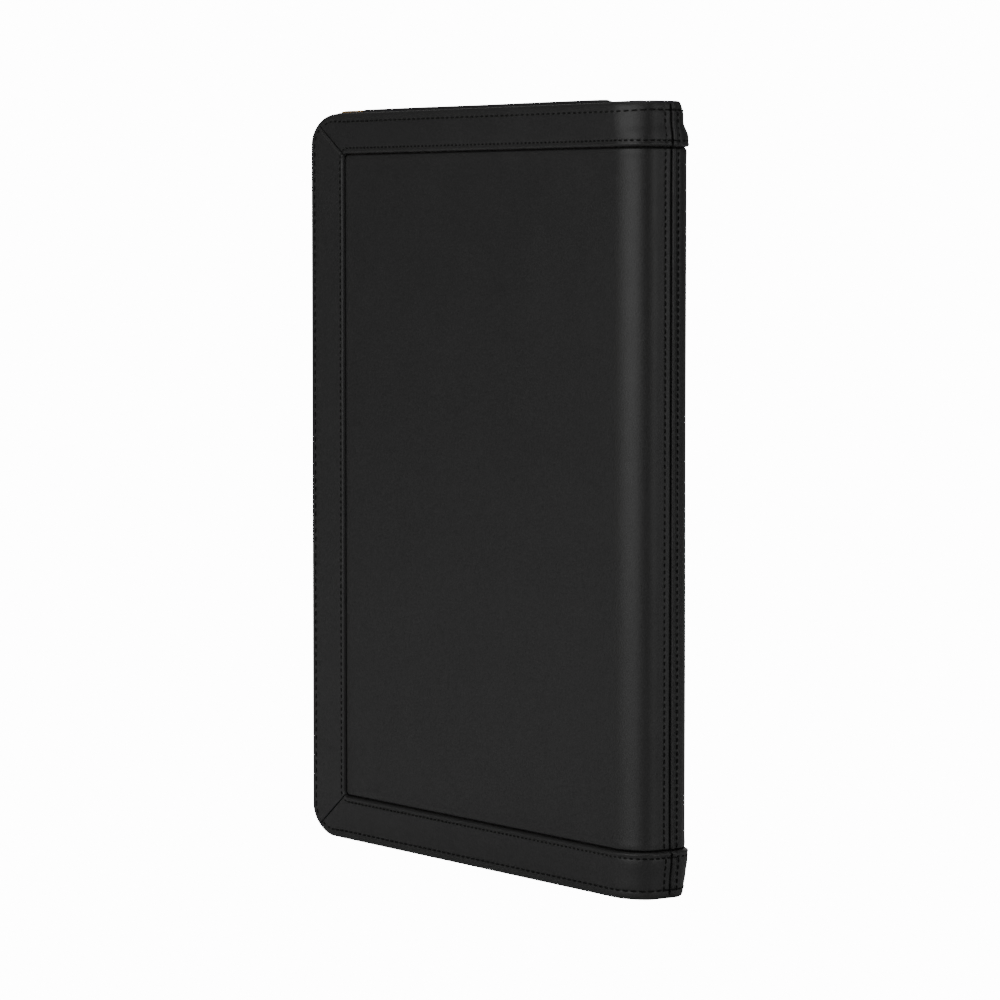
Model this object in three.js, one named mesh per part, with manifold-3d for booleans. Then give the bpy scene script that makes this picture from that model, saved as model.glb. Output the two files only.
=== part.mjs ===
// A zip-round portfolio case for an A4 writing pad, closed and standing on its lower edge.
// Millimetres. X runs from the free edge of the covers to the spine, Y from the front cover to
// the rear cover, and Z up. The origin is at the middle of the base.
import * as THREE from "three";
import { mergeVertices } from "three/addons/utils/BufferGeometryUtils.js";
import Module from "manifold-3d";

// ---- Driving dimensions ----
const CASE_HEIGHT = 345;
const CASE_WIDTH = 262;
const CASE_THICKNESS = 35;

const CORNER_RX = 24; // rounding of the covers' free corners, along the width
const CORNER_RZ = 17; // and along the height
const BAND_HEIGHT = 20; // border strip at the top and bottom
const BAND_SIDE = 29; // border strip along the free edge
const PIECE_GAP = 0.3; // between neighbouring pieces
const MITRE_GAP = 0.3;
const PANEL_RECESS = 0.8; // the panel lies this far below the border strips
const SKIN_DEPTH = 2.0; // depth at which the outer skin ends
const EDGE_WALL = 1.6; // border strip where it wraps the edge of the cover
const COVER_DEPTH = 5.0;
const BOARD = { from: 2.1, to: 4.3 };
const LINING = { from: 4.4, to: 5.2 };
const LINING_INSET = 1.9;

const SPINE_RX = 17; // rounding between cover and spine, along the width
const SPINE_RY = 12; // and along the thickness
const SEAM_Y = -0.7; // the upright seam of the spine
const SEAM_GAP = 0.3;
const FOLD_GAP = 0.3; // each side of the fold between cover and spine
const SPINE_BOARD = { from: 2.1, to: 3.5 };
const SPINE_LINING = { from: 3.6, to: 4.4 };
const SPINE_INSET = 2; // board and lining stop this far inside both ends

const ZIP_SUNK = 4.3; // the chain runs this far inside the edge of the covers
const ZIP_RISE = 0.4; // and this far outside it at the upper corner
const ZIP_EAR = 3.0; // and this far outside the free edge at both corners
const ZIP_FLOOR = 2.2; // height of the chain at the lower corner
const TEETH = { inner: 1.0, outer: 2.9, half: 1.3 }; // one row, off the middle plane
const TAPE_HALF = 0.4;
const TAPE_CROWN = 3.7;
const FLOOR_CROWN = 1.3; // the tape is pressed flat under the case
const CHAIN_END = 98; // the teeth end here at the top, in front of the parked slider
const TAPE_END = 115;
const CHAIN_SHORT = 4; // the teeth stop this far before the tape's lower end

const PAD = { width: 210, height: 297, from: -121.8, low: 24 };
const HOLDER = { from: 5.3, to: 7.3, margin: 3, top: 200, rim: 2.6, sheet: 0.8 };
const PAD_CARD = { from: 5.3, to: 6.3 };
const PAD_PAGES = { from: 7.5, to: 13.3 };
const PAD_TAPE = { thick: 0.6, drop: 14, clear: 0.1 }; // cloth tape over the head of the pad
const PEN = { x: 101, depth: 13, radius: 7, wall: 0.8, foot: 9, low: 150, high: 190 };

const DOCUMENT = { inset: 7, right: 96, low: 9, high: 270, from: 5.3, to: 11.6, rim: 3, sheet: 0.9 };
const NOTCH = { radius: 14, rise: 2 }; // thumb notch in the document pocket's upper edge
const CARD_SLOT = { inset: 15, width: 98, height: 62, low: 150, rise: 18, deep: 1.1, rim: 2, sheet: 0.6 };
const PHONE = { inset: 15, right: 90, low: 20, high: 128, deep: 3.2, rim: 3, sheet: 0.8 };
const ON_POCKET = DOCUMENT.to + 0.1; // what is sewn onto the document pocket starts here

const SLIDER_X = 104;
const SLIDER = { length: 11, half: 4.4, channel: 1.6, plate: 1.2, slot: 0.75, inner: 3.25 };
const WEDGE = { length: 3.4, half: 0.7 }; // the post between the slider's plates
const BRIDGE = { back: 3.2, front: 2.9, slope: 0.8, height: 2.5, half: 0.8 };
const ARCH = { back: 1.6, front: 1.2, height: 1.65 }; // the opening under the bridge
const PIVOT = { x: SLIDER_X - 0.5, lift: 3.5, bar: 0.45, half: 2.4 };
const PULL = { length: 30, width: 7, thick: 1.0, neck: 6, shoulder: 9, corner: 2 };
const PULL_WINDOW = { length: 4.6, half: 1.2 };
const PULL_HOLE = { radius: 1.1, inset: 4 };
const STOP_LENGTH = 2;
const TOP_STOP_X = SLIDER_X + SLIDER.length / 2 + 1.1;
const BOTTOM_STOP_X = TAPE_END - CHAIN_SHORT + 0.6;

// ---- Places worked out from them ----
const CENTRE_SHIFT = (ZIP_EAR + TEETH.half) / 2; // the zip's corners count in the width
const SPINE_X = CASE_WIDTH / 2 + CENTRE_SHIFT;
const FREE_X = -CASE_WIDTH / 2 + CENTRE_SHIFT;
const FOLD_X = SPINE_X - SPINE_RX;
const HALF_T = CASE_THICKNESS / 2;
const CHAIN_Z = CASE_HEIGHT - ZIP_SUNK;

// ---- Materials ----
const finish = (color, roughness, metalness = 0) =>
  new THREE.MeshStandardMaterial({ color, roughness, metalness });
const leatherette = finish(0x232323, 0.55);
const lining = finish(0x18181a, 0.85);
const card = finish(0x8a7a62, 0.9);
const paper = finish(0xf2f1ec, 0.9);
const binding = finish(0x1c1c1e, 0.7);
const zipTape = finish(0x0c0c0d, 0.95);
const brass = finish(0xb08a44, 0.35, 1);

// ---- Solids ----
const wasm = await Module();
wasm.setup();

function solidOf(geometry) {
  const bare = new THREE.BufferGeometry();
  bare.setAttribute("position", geometry.getAttribute("position").clone());
  if (geometry.index) bare.setIndex(geometry.index.clone());
  const merged = mergeVertices(bare, 1e-4);
  return new wasm.Manifold(
    new wasm.Mesh({
      numProp: 3,
      vertProperties: merged.getAttribute("position").array,
      triVerts: new Uint32Array(merged.index.array),
    }),
  );
}

function geometryOf(solid) {
  const { vertProperties, triVerts } = solid.getMesh();
  const geometry = new THREE.BufferGeometry();
  geometry.setAttribute("position", new THREE.BufferAttribute(vertProperties, 3));
  geometry.setIndex(new THREE.BufferAttribute(triVerts, 1));
  geometry.computeVertexNormals();
  return geometry;
}

const cut = (geometry, ...tools) =>
  geometryOf(tools.reduce((left, tool) => left.subtract(solidOf(tool)), solidOf(geometry)));
const common = (a, b) => geometryOf(solidOf(a).intersect(solidOf(b)));
const join = (first, ...others) =>
  geometryOf(others.reduce((sum, other) => sum.add(solidOf(other)), solidOf(first)));

// A shape drawn in X and Z, between two places along Y.
function slab(shape, yLow, yHigh, curveSegments = 8) {
  const options = { depth: yHigh - yLow, bevelEnabled: false, curveSegments };
  return new THREE.ExtrudeGeometry(shape, options).rotateX(Math.PI / 2).translate(0, yHigh, 0);
}

// A shape drawn in X and Y, between two heights.
function prism(shape, zLow, zHigh, curveSegments = 10) {
  const options = { depth: zHigh - zLow, bevelEnabled: false, curveSegments };
  return new THREE.ExtrudeGeometry(shape, options).translate(0, 0, zLow);
}

function block(x0, x1, y0, y1, z0, z1) {
  return new THREE.BoxGeometry(x1 - x0, y1 - y0, z1 - z0).translate(
    (x0 + x1) / 2,
    (y0 + y1) / 2,
    (z0 + z1) / 2,
  );
}

// A closed skin over rings of points, each counterclockwise seen from +X at the first ring,
// with a flat face at each end.
function loft(rings) {
  const count = rings[0].length;
  const positions = rings.flat().flatMap((p) => [p.x, p.y, p.z]);
  const faces = [];
  for (let r = 0; r + 1 < rings.length; r += 1) {
    for (let k = 0; k < count; k += 1) {
      const a = r * count + k;
      const b = r * count + ((k + 1) % count);
      faces.push(a, a + count, b, b, a + count, b + count);
    }
  }
  const outline = rings[0].map((p) => new THREE.Vector2(p.y, p.z));
  const last = (rings.length - 1) * count;
  for (const [a, b, c] of THREE.ShapeUtils.triangulateShape(outline, [])) {
    faces.push(a, b, c, last + a, last + c, last + b);
  }
  const geometry = new THREE.BufferGeometry();
  geometry.setAttribute("position", new THREE.Float32BufferAttribute(positions, 3));
  geometry.setIndex(faces);
  geometry.computeVertexNormals();
  return geometry;
}

function polygon(points) {
  return new THREE.Shape(points.map(([x, y]) => new THREE.Vector2(x, y)));
}

function rectangle(x0, x1, y0, y1) {
  return polygon([[x0, y0], [x1, y0], [x1, y1], [x0, y1]]);
}

const group = new THREE.Group();
function add(name, geometry, material) {
  const mesh = new THREE.Mesh(geometry, material);
  mesh.name = name;
  group.add(mesh);
}

// ---- Covers ----
// Depths count inwards from the outer plane of a cover; side is -1 in front and 1 at the rear.
const layer = (side, from, to) =>
  side < 0 ? [-HALF_T + from, -HALF_T + to] : [HALF_T - to, HALF_T - from];

function coverSlab(shape, side, from, to) {
  return slab(shape, ...layer(side, from, to));
}

function coverBlock(side, x0, x1, z0, z1, from, to) {
  const [y0, y1] = layer(side, from, to);
  return block(x0, x1, y0, y1, z0, z1);
}

// Outline of a cover, inset all round its free edges.
function coverOutline(inset, right = FOLD_X - FOLD_GAP) {
  const rx = CORNER_RX - inset;
  const rz = CORNER_RZ - inset;
  const left = FREE_X + inset;
  const shape = new THREE.Shape();
  shape.moveTo(right, inset);
  shape.lineTo(right, CASE_HEIGHT - inset);
  shape.lineTo(left + rx, CASE_HEIGHT - inset);
  shape.absellipse(left + rx, CASE_HEIGHT - inset - rz, rx, rz, Math.PI / 2, Math.PI);
  shape.lineTo(left, inset + rz);
  shape.absellipse(left + rx, inset + rz, rx, rz, Math.PI, 1.5 * Math.PI);
  shape.closePath();
  return shape;
}

// Points on the mitre line, from the outer corner (share 0) to the window's corner (share 1).
function mitre(share, lift, top) {
  const x = FREE_X + BAND_SIDE * share;
  const z = BAND_HEIGHT * share - lift;
  return [x, top ? CASE_HEIGHT - z : z];
}

function borderStrips(side, word) {
  const window = rectangle(
    FREE_X + BAND_SIDE,
    FOLD_X + 1,
    BAND_HEIGHT,
    CASE_HEIGHT - BAND_HEIGHT,
  );
  const ring = cut(
    coverSlab(coverOutline(0), side, 0, COVER_DEPTH),
    coverSlab(coverOutline(EDGE_WALL, FOLD_X + 1), side, SKIN_DEPTH, COVER_DEPTH + 1),
    coverSlab(window, side, -1, SKIN_DEPTH + 1),
  );
  const gap = MITRE_GAP * 0.6;
  const far = FOLD_X + 1;
  const mid = CASE_HEIGHT / 2;
  const before = -0.3; // shares of the mitre line, past both its ends
  const past = 1.2;
  for (const top of [true, false]) {
    const outer = top ? CASE_HEIGHT + 10 : -10;
    const a = mitre(before, gap, top);
    const b = mitre(past, gap, top);
    const region = polygon([a, [a[0], outer], [far, outer], [far, b[1]], b]);
    const strip = common(ring, coverSlab(region, side, -1, COVER_DEPTH + 1));
    add(`${word}_border_${top ? "top" : "bottom"}`, strip, leatherette);
    if (top) continue;
    const lower = [mitre(before, -gap, false), mitre(past, -gap, false)];
    const upper = [mitre(past, -gap, true), mitre(before, -gap, true)];
    const sideRegion = polygon([...lower, [b[0], mid], ...upper]);
    const sideStrip = common(ring, coverSlab(sideRegion, side, -1, COVER_DEPTH + 1));
    add(`${word}_border_side`, sideStrip, leatherette);
  }
}

function cover(side, word) {
  const gap = PIECE_GAP;
  const right = FOLD_X - FOLD_GAP;
  const panel = coverBlock(
    side,
    FREE_X + BAND_SIDE + gap,
    right,
    BAND_HEIGHT + gap,
    CASE_HEIGHT - BAND_HEIGHT - gap,
    PANEL_RECESS,
    SKIN_DEPTH,
  );
  add(`${word}_panel`, panel, leatherette);
  borderStrips(side, word);
  add(`${word}_board`, coverSlab(coverOutline(LINING_INSET), side, BOARD.from, BOARD.to), card);
  const liningShape = coverOutline(LINING_INSET);
  add(`${word}_lining`, coverSlab(liningShape, side, LINING.from, LINING.to), lining);
}

// A pocket sewn down on three sides and open at the top: a sheet with a rim, facing inwards.
function pocket(side, x0, x1, z0, z1, from, to, rim, sheet) {
  return cut(
    coverBlock(side, x0, x1, z0, z1, from, to),
    coverBlock(side, x0 + rim, x1 - rim, z0 + rim, z1 + 1, from - 1, to - sheet),
  );
}

// ---- Spine ----
// Plan of the spine's skin from the front fold round to a place along Y, inset from outside.
function spinePlan(from, to, endY) {
  const shape = new THREE.Shape();
  const start = FOLD_X + FOLD_GAP;
  const startAngle = (inset) => -Math.acos((start - FOLD_X) / (SPINE_RX - inset));
  const cy = -HALF_T + SPINE_RY;
  const arc = (inset, clockwise) => {
    const angles = clockwise ? [0, startAngle(inset)] : [startAngle(inset), 0];
    shape.absellipse(FOLD_X, cy, SPINE_RX - inset, SPINE_RY - inset, ...angles, clockwise);
  };
  shape.moveTo(start, cy + (SPINE_RY - from) * Math.sin(startAngle(from)));
  arc(from, false);
  shape.lineTo(SPINE_X - from, endY);
  shape.lineTo(SPINE_X - to, endY);
  shape.lineTo(SPINE_X - to, cy);
  arc(to, true);
  shape.closePath();
  return shape;
}

// The same piece mirrored to the rear half, with its faces turned back outwards.
function mirrored(geometry) {
  const turned = geometry.clone().scale(1, -1, 1);
  turned.deleteAttribute("normal");
  turned.deleteAttribute("uv");
  const plain = mergeVertices(turned, 1e-4);
  const index = plain.index.array;
  for (let i = 0; i < index.length; i += 3) {
    [index[i + 1], index[i + 2]] = [index[i + 2], index[i + 1]];
  }
  return geometryOf(solidOf(plain));
}

function spine() {
  const lowBand = [0, BAND_HEIGHT];
  const highBand = [CASE_HEIGHT - BAND_HEIGHT, CASE_HEIGHT];
  const middle = [BAND_HEIGHT + PIECE_GAP, CASE_HEIGHT - BAND_HEIGHT - PIECE_GAP];
  const halves = [
    ["front", SEAM_Y - SEAM_GAP / 2, (g) => g],
    ["rear", -SEAM_Y - SEAM_GAP / 2, mirrored],
  ];
  for (const [word, endY, place] of halves) {
    const skin = spinePlan(PANEL_RECESS, SKIN_DEPTH, endY);
    const band = spinePlan(0, SKIN_DEPTH, endY);
    add(`spine_skin_${word}`, place(prism(skin, ...middle)), leatherette);
    add(`spine_band_bottom_${word}`, place(prism(band, ...lowBand)), leatherette);
    add(`spine_band_top_${word}`, place(prism(band, ...highBand)), leatherette);
  }
  const reach = HALF_T - SPINE_RY;
  const ends = [SPINE_INSET, CASE_HEIGHT - SPINE_INSET];
  const { from, to } = SPINE_BOARD;
  add("spine_board", block(SPINE_X - to, SPINE_X - from, -reach, reach, ...ends), card);
  const half = prism(spinePlan(SPINE_LINING.from, SPINE_LINING.to, 0), ...ends);
  add("spine_lining", join(half, mirrored(half)), lining);
}

// ---- Zip ----
// The edge of the covers and the chain are drawn as matching pieces of a path in X and Z, from
// the spine along the top, down the free edge and back along the bottom.
const flat = (x, z) => new THREE.Vector2(x, z);
const straight = (a, b) => new THREE.LineCurve(flat(...a), flat(...b));
const sweep = (cx, cz, rx, rz, from, to) =>
  new THREE.EllipseCurve(cx, cz, rx, rz, from * Math.PI, to * Math.PI, false);
// A gentle step from one line to a parallel one.
function step(a, b, alongX) {
  const mid = alongX ? (a[0] + b[0]) / 2 : (a[1] + b[1]) / 2;
  const handle = (p) => (alongX ? flat(mid, p[1]) : flat(p[0], mid));
  return new THREE.CubicBezierCurve(flat(...a), handle(a), handle(b), flat(...b));
}

const SUNK_FROM = FREE_X + 36; // the straight stretch of the top and bottom chain ends here
const RISEN_AT = FREE_X + 23;
const EAR_RX = 13;
const EAR_RZ = 13;
const EAR_END = 40; // the chain is back inside the free edge this far from the corner

function edgePath() {
  const inset = (EDGE_WALL + 0.2) / 2;
  const top = CASE_HEIGHT - inset;
  const left = FREE_X + inset;
  const rx = CORNER_RX - inset;
  const rz = CORNER_RZ - inset;
  const lean = left + rx + 4;
  return [
    straight([TAPE_END, top], [SUNK_FROM, top]),
    straight([SUNK_FROM, top], [lean, top]),
    straight([lean, top], [left + rx, top]),
    sweep(left + rx, top - rz, rx, rz, 0.5, 1),
    straight([left, top - rz], [left, top - EAR_END]),
    straight([left, top - EAR_END], [left, inset + EAR_END]),
    straight([left, inset + EAR_END], [left, inset + rz]),
    sweep(left + rx, inset + rz, rx, rz, 1, 1.5),
    straight([left + rx, inset], [lean, inset]),
    straight([lean, inset], [SUNK_FROM, inset]),
    straight([SUNK_FROM, inset], [TAPE_END, inset]),
  ];
}

function chainPath() {
  const high = CASE_HEIGHT + ZIP_RISE;
  const left = FREE_X - ZIP_EAR;
  const inner = FREE_X + ZIP_SUNK;
  const turn = left + EAR_RX;
  const upper = CASE_HEIGHT - EAR_END;
  return [
    straight([TAPE_END, CHAIN_Z], [SUNK_FROM, CHAIN_Z]),
    step([SUNK_FROM, CHAIN_Z], [RISEN_AT, high], true),
    straight([RISEN_AT, high], [turn, high]),
    sweep(turn, high - EAR_RZ, EAR_RX, EAR_RZ, 0.5, 1),
    step([left, high - EAR_RZ], [inner, upper], false),
    straight([inner, upper], [inner, EAR_END]),
    step([inner, EAR_END], [left, ZIP_FLOOR + EAR_RZ], false),
    sweep(turn, ZIP_FLOOR + EAR_RZ, EAR_RX, EAR_RZ, 1, 1.5),
    straight([turn, ZIP_FLOOR], [RISEN_AT, ZIP_FLOOR]),
    step([RISEN_AT, ZIP_FLOOR], [SUNK_FROM, ZIP_SUNK], true),
    straight([SUNK_FROM, ZIP_SUNK], [TAPE_END, ZIP_SUNK]),
  ];
}

const STEPS = [1, 5, 1, 8, 5, 1, 5, 8, 1, 5, 1];
// How far the tape bellies out, at the start and end of each piece of the path.
const CROWNS = [1, 1, 0.15, 0, 0, 1, 1, 0, 0, 0.15, 1, 1];

// Points along a path with the outward normal and the crown there.
function stations(path) {
  const out = [];
  path.forEach((curve, i) => {
    const first = i === 0 ? 0 : 1;
    for (let k = first; k <= STEPS[i]; k += 1) {
      const t = k / STEPS[i];
      const tangent = curve.getTangent(t);
      const share = THREE.MathUtils.lerp(CROWNS[i], CROWNS[i + 1], t);
      const belly = i > path.length / 2 + 1 ? FLOOR_CROWN : TAPE_CROWN;
      out.push({
        at: curve.getPoint(t),
        out: flat(tangent.y, -tangent.x),
        crown: share * belly,
      });
    }
  });
  return out;
}

// Section of a tape: distance off the middle plane, share of the way from the chain to the
// cover, and share of the crown.
const TAPE_SECTION = [
  [3.1, 0, 0],
  [5.3, 0.02, 0],
  [6.4, 0.25, 0.55],
  [7.6, 0.45, 0.92],
  [8.8, 0.62, 1],
  [10.2, 0.82, 0.8],
  [11.8, 1, 0],
];

function tape(side) {
  const chain = stations(chainPath());
  const edge = stations(edgePath());
  const rings = chain.map((c, i) => {
    const middle = TAPE_SECTION.map(([y, share, crown]) => {
      const p = c.at.clone().lerp(edge[i].at, share);
      return { y, p: p.addScaledVector(c.out, crown * c.crown) };
    });
    const shell = (list, offset) =>
      list.map(({ y, p }) => {
        const q = p.clone().addScaledVector(c.out, offset);
        return new THREE.Vector3(q.x, side * y, q.y);
      });
    const ring = [...shell(middle, TAPE_HALF), ...shell([...middle].reverse(), -TAPE_HALF)];
    return side > 0 ? ring.reverse() : ring;
  });
  return loft(rings);
}

// A row of teeth is a plain bar along the chain; its section is square to the path.
function teethRow(side) {
  const keep = stations(chainPath());
  keep[0].at.x = CHAIN_END;
  keep[keep.length - 1].at.x = TAPE_END - CHAIN_SHORT;
  const rings = keep.map((c) => {
    const corner = (y, offset) => {
      const q = c.at.clone().addScaledVector(c.out, offset);
      return new THREE.Vector3(q.x, side * y, q.y);
    };
    const ring = [
      corner(TEETH.inner, TEETH.half),
      corner(TEETH.outer, TEETH.half),
      corner(TEETH.outer, -TEETH.half),
      corner(TEETH.inner, -TEETH.half),
    ];
    return side > 0 ? ring.reverse() : ring;
  });
  return loft(rings);
}

function zipStop(side, x, z) {
  const [y0, y1] = side < 0 ? [-TEETH.outer, -TEETH.inner] : [TEETH.inner, TEETH.outer];
  return block(x, x + STOP_LENGTH, y0, y1, z - TEETH.half, z + TEETH.half);
}

function slider() {
  const { length, half, channel, plate, slot, inner } = SLIDER;
  const x0 = SLIDER_X - length / 2;
  const x1 = SLIDER_X + length / 2;
  const outline = polygon([
    [x0, -half + 1],
    [x0 + 3, -half],
    [x1 - 2, -half],
    [x1, -half + 1.4],
    [x1, half - 1.4],
    [x1 - 2, half],
    [x0 + 3, half],
    [x0, half - 1],
  ]);
  const full = prism(outline, CHAIN_Z - channel - plate, CHAIN_Z + channel + plate);
  const room = block(x0 - 1, x1 + 1, -inner, inner, CHAIN_Z - channel, CHAIN_Z + channel);
  const slots = block(x0 - 1, x1 + 1, -half - 1, half + 1, CHAIN_Z - slot, CHAIN_Z + slot);
  const waist = x1 - WEDGE.length / 2;
  const diamond = [[x1 - WEDGE.length, 0], [waist, -WEDGE.half], [x1, 0], [waist, WEDGE.half]];
  const bite = plate / 2; // the post and the bridge run into the plates
  const post = prism(polygon(diamond), CHAIN_Z - channel - bite, CHAIN_Z + channel + bite);
  const foot = CHAIN_Z + channel + plate - bite / 2;
  const bridge = polygon([
    [PIVOT.x - BRIDGE.back, foot],
    [PIVOT.x - BRIDGE.back + BRIDGE.slope, foot + BRIDGE.height],
    [PIVOT.x + BRIDGE.front - BRIDGE.slope, foot + BRIDGE.height],
    [PIVOT.x + BRIDGE.front, foot],
  ]);
  const arch = rectangle(PIVOT.x - ARCH.back, PIVOT.x + ARCH.front, foot - 1, foot + ARCH.height);
  const crown = cut(slab(bridge, -BRIDGE.half, BRIDGE.half), slab(arch, -1, 1));
  return join(cut(full, room, slots), post, crown);
}

// The pull is a tab with a window near its pin, so that it swings over the slider's bridge.
function pull() {
  const z = CHAIN_Z + PIVOT.lift;
  const half = PULL.width / 2;
  const tip = PIVOT.x - PULL.length;
  const r = PULL.corner;
  const neck = PIVOT.x - PULL.neck;
  const shoulder = PIVOT.x - PULL.shoulder;
  const tab = new THREE.Shape();
  tab.moveTo(PIVOT.x, -PIVOT.half);
  tab.lineTo(PIVOT.x, PIVOT.half);
  tab.lineTo(neck, PIVOT.half);
  tab.lineTo(shoulder, half);
  tab.lineTo(tip + r, half);
  tab.absarc(tip + r, half - r, r, Math.PI / 2, Math.PI);
  tab.absarc(tip + r, r - half, r, Math.PI, 1.5 * Math.PI);
  tab.lineTo(shoulder, -half);
  tab.lineTo(neck, -PIVOT.half);
  tab.closePath();
  const sheet = prism(tab, z - PULL.thick / 2, z + PULL.thick / 2, 4);
  const { length: opening, half: side } = PULL_WINDOW;
  const window = block(PIVOT.x - opening, PIVOT.x + 1, -side, side, z - 2, z + 2);
  const hole = new THREE.CylinderGeometry(PULL_HOLE.radius, PULL_HOLE.radius, 4, 12)
    .rotateX(Math.PI / 2)
    .translate(tip + PULL_HOLE.inset, 0, z);
  const pin = new THREE.CylinderGeometry(PIVOT.bar, PIVOT.bar, 2 * PIVOT.half, 10)
    .translate(PIVOT.x, 0, z);
  return join(cut(sheet, window, hole), pin);
}

function zip() {
  for (const [side, word] of [[-1, "front"], [1, "rear"]]) {
    add(`${word}_zip_tape`, tape(side), zipTape);
    add(`${word}_zip_teeth`, teethRow(side), brass);
    add(`${word}_zip_stop_top`, zipStop(side, TOP_STOP_X, CHAIN_Z), brass);
    add(`${word}_zip_stop_bottom`, zipStop(side, BOTTOM_STOP_X, ZIP_SUNK), brass);
  }
  add("zip_slider", slider(), brass);
  add("zip_pull", pull(), brass);
}

// ---- What the covers carry inside ----
function frontInside() {
  const side = -1;
  const right = PAD.from + PAD.width;
  const high = PAD.low + PAD.height;
  const { margin, top, from, to, rim, sheet } = HOLDER;
  const ends = [PAD.from - margin, right + margin, PAD.low - margin, top];
  add("pad_holder", pocket(side, ...ends, from, to, rim, sheet), lining);
  const backing = coverBlock(side, PAD.from, right, PAD.low, high, PAD_CARD.from, PAD_CARD.to);
  add("pad_backing", backing, card);
  const pages = coverBlock(side, PAD.from, right, PAD.low, high, PAD_PAGES.from, PAD_PAGES.to);
  add("pad_pages", pages, paper);
  const { thick, drop, clear } = PAD_TAPE;
  const crest = high + 2 * clear + thick;
  const outer = PAD_PAGES.to + clear;
  const head = join(
    coverBlock(side, PAD.from, right, crest - thick, crest, PAD_CARD.from, outer + thick),
    coverBlock(side, PAD.from, right, high - drop, crest, outer, outer + thick),
  );
  add("pad_binding", head, binding);
  add("pen_loop", penLoop(), lining);
}

function penLoop() {
  const { x, radius, wall, foot, low, high } = PEN;
  const y = -HALF_T + PEN.depth;
  const ring = new THREE.Shape();
  ring.absarc(x, y, radius, 0, 2 * Math.PI);
  const bore = new THREE.Path();
  bore.absarc(x, y, radius - wall, 0, 2 * Math.PI);
  ring.holes.push(bore);
  const under = LINING.to + 0.1;
  const strap = coverBlock(-1, x - foot, x + foot, low, high, under, under + wall);
  return join(prism(ring, low, high, 12), strap);
}

function rearInside() {
  const side = 1;
  const { from, to, rim, sheet, right, low, high } = DOCUMENT;
  const left = FREE_X + DOCUMENT.inset;
  const notch = new THREE.CylinderGeometry(NOTCH.radius, NOTCH.radius, 20, 20)
    .translate((left + right) / 2, HALF_T - (from + to) / 2, high + NOTCH.rise);
  const body = pocket(side, left, right, low, high, from, to, rim, sheet);
  add("document_pocket", cut(body, notch), lining);
  cardPockets();
  const x0 = FREE_X + PHONE.inset;
  const ends = [x0, PHONE.right, PHONE.low, PHONE.high];
  const depths = [ON_POCKET, ON_POCKET + PHONE.deep];
  const phone = pocket(side, ...ends, ...depths, PHONE.rim, PHONE.sheet);
  add("accessory_pocket", phone, lining);
}

// Three card pockets, each lower and nearer than the one before.
function cardPockets() {
  const { inset, width, height, deep, rim, sheet } = CARD_SLOT;
  const x0 = FREE_X + inset;
  for (let k = 0; k < 3; k += 1) {
    const low = CARD_SLOT.low + (2 - k) * CARD_SLOT.rise;
    const from = ON_POCKET + k * (deep + 0.1);
    const slot = pocket(1, x0, x0 + width, low, low + height, from, from + deep, rim, sheet);
    add(`card_pocket_${k + 1}`, slot, lining);
  }
}

cover(-1, "front");
cover(1, "rear");
spine();
zip();
frontInside();
rearInside();

export default group;
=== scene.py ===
import math
import random

import bmesh
import bpy
import numpy as np
from mathutils import Matrix, Vector


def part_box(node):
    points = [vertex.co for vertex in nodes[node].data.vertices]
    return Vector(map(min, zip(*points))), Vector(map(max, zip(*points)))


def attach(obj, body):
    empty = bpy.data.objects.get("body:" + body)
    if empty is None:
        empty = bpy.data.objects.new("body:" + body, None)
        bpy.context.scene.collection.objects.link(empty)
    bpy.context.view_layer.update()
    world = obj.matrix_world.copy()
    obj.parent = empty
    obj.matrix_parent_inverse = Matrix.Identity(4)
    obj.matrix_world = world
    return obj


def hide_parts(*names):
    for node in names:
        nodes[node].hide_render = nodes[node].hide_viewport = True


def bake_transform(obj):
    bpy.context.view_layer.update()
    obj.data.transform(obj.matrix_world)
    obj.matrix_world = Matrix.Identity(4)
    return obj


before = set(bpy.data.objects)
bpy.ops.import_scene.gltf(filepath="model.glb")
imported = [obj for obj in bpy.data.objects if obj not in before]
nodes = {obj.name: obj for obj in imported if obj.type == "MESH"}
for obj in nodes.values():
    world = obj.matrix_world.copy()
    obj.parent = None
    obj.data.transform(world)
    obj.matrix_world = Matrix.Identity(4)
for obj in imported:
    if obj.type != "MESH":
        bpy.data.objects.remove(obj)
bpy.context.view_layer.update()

# The looks of a zip-round portfolio case for an A4 pad: leatherette skin folded over board
# covers, sewn border strips, a brass zip on woven tape, and a fabric interior.
# Lengths are millimetres up to the point where a mesh is made. X runs from the free edge to the
# spine, Y from the front cover to the rear cover, and Z up.
MM = 0.001
WELD = 1e-6  # metres
random.seed(7)

# ---- Camera ----
CAMERA_AT = (1.60148, -1.09985, 0.29153)
CAMERA_AZIMUTH = 55.43
CAMERA_DOWN = 3.669
CAMERA_LENS = 153.0
CAMERA_SENSOR = 36
CAMERA_REACH = 30


def add(name, data):
    """A new object in the scene."""
    obj = bpy.data.objects.new(name, data)
    bpy.context.scene.collection.objects.link(obj)
    return obj


def make_camera():
    data = bpy.data.cameras.new("camera")
    data.lens = CAMERA_LENS
    data.sensor_width = CAMERA_SENSOR
    data.clip_end = CAMERA_REACH
    camera = add("camera", data)
    camera.location = CAMERA_AT
    tilt = math.radians(90 - CAMERA_DOWN)
    camera.rotation_euler = (tilt, 0, math.radians(CAMERA_AZIMUTH))
    bpy.context.scene.camera = camera


make_camera()

# ---- Measures taken from the frame ----


def box_mm(node):
    lo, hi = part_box(node)
    return np.array(lo) / MM, np.array(hi) / MM


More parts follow.
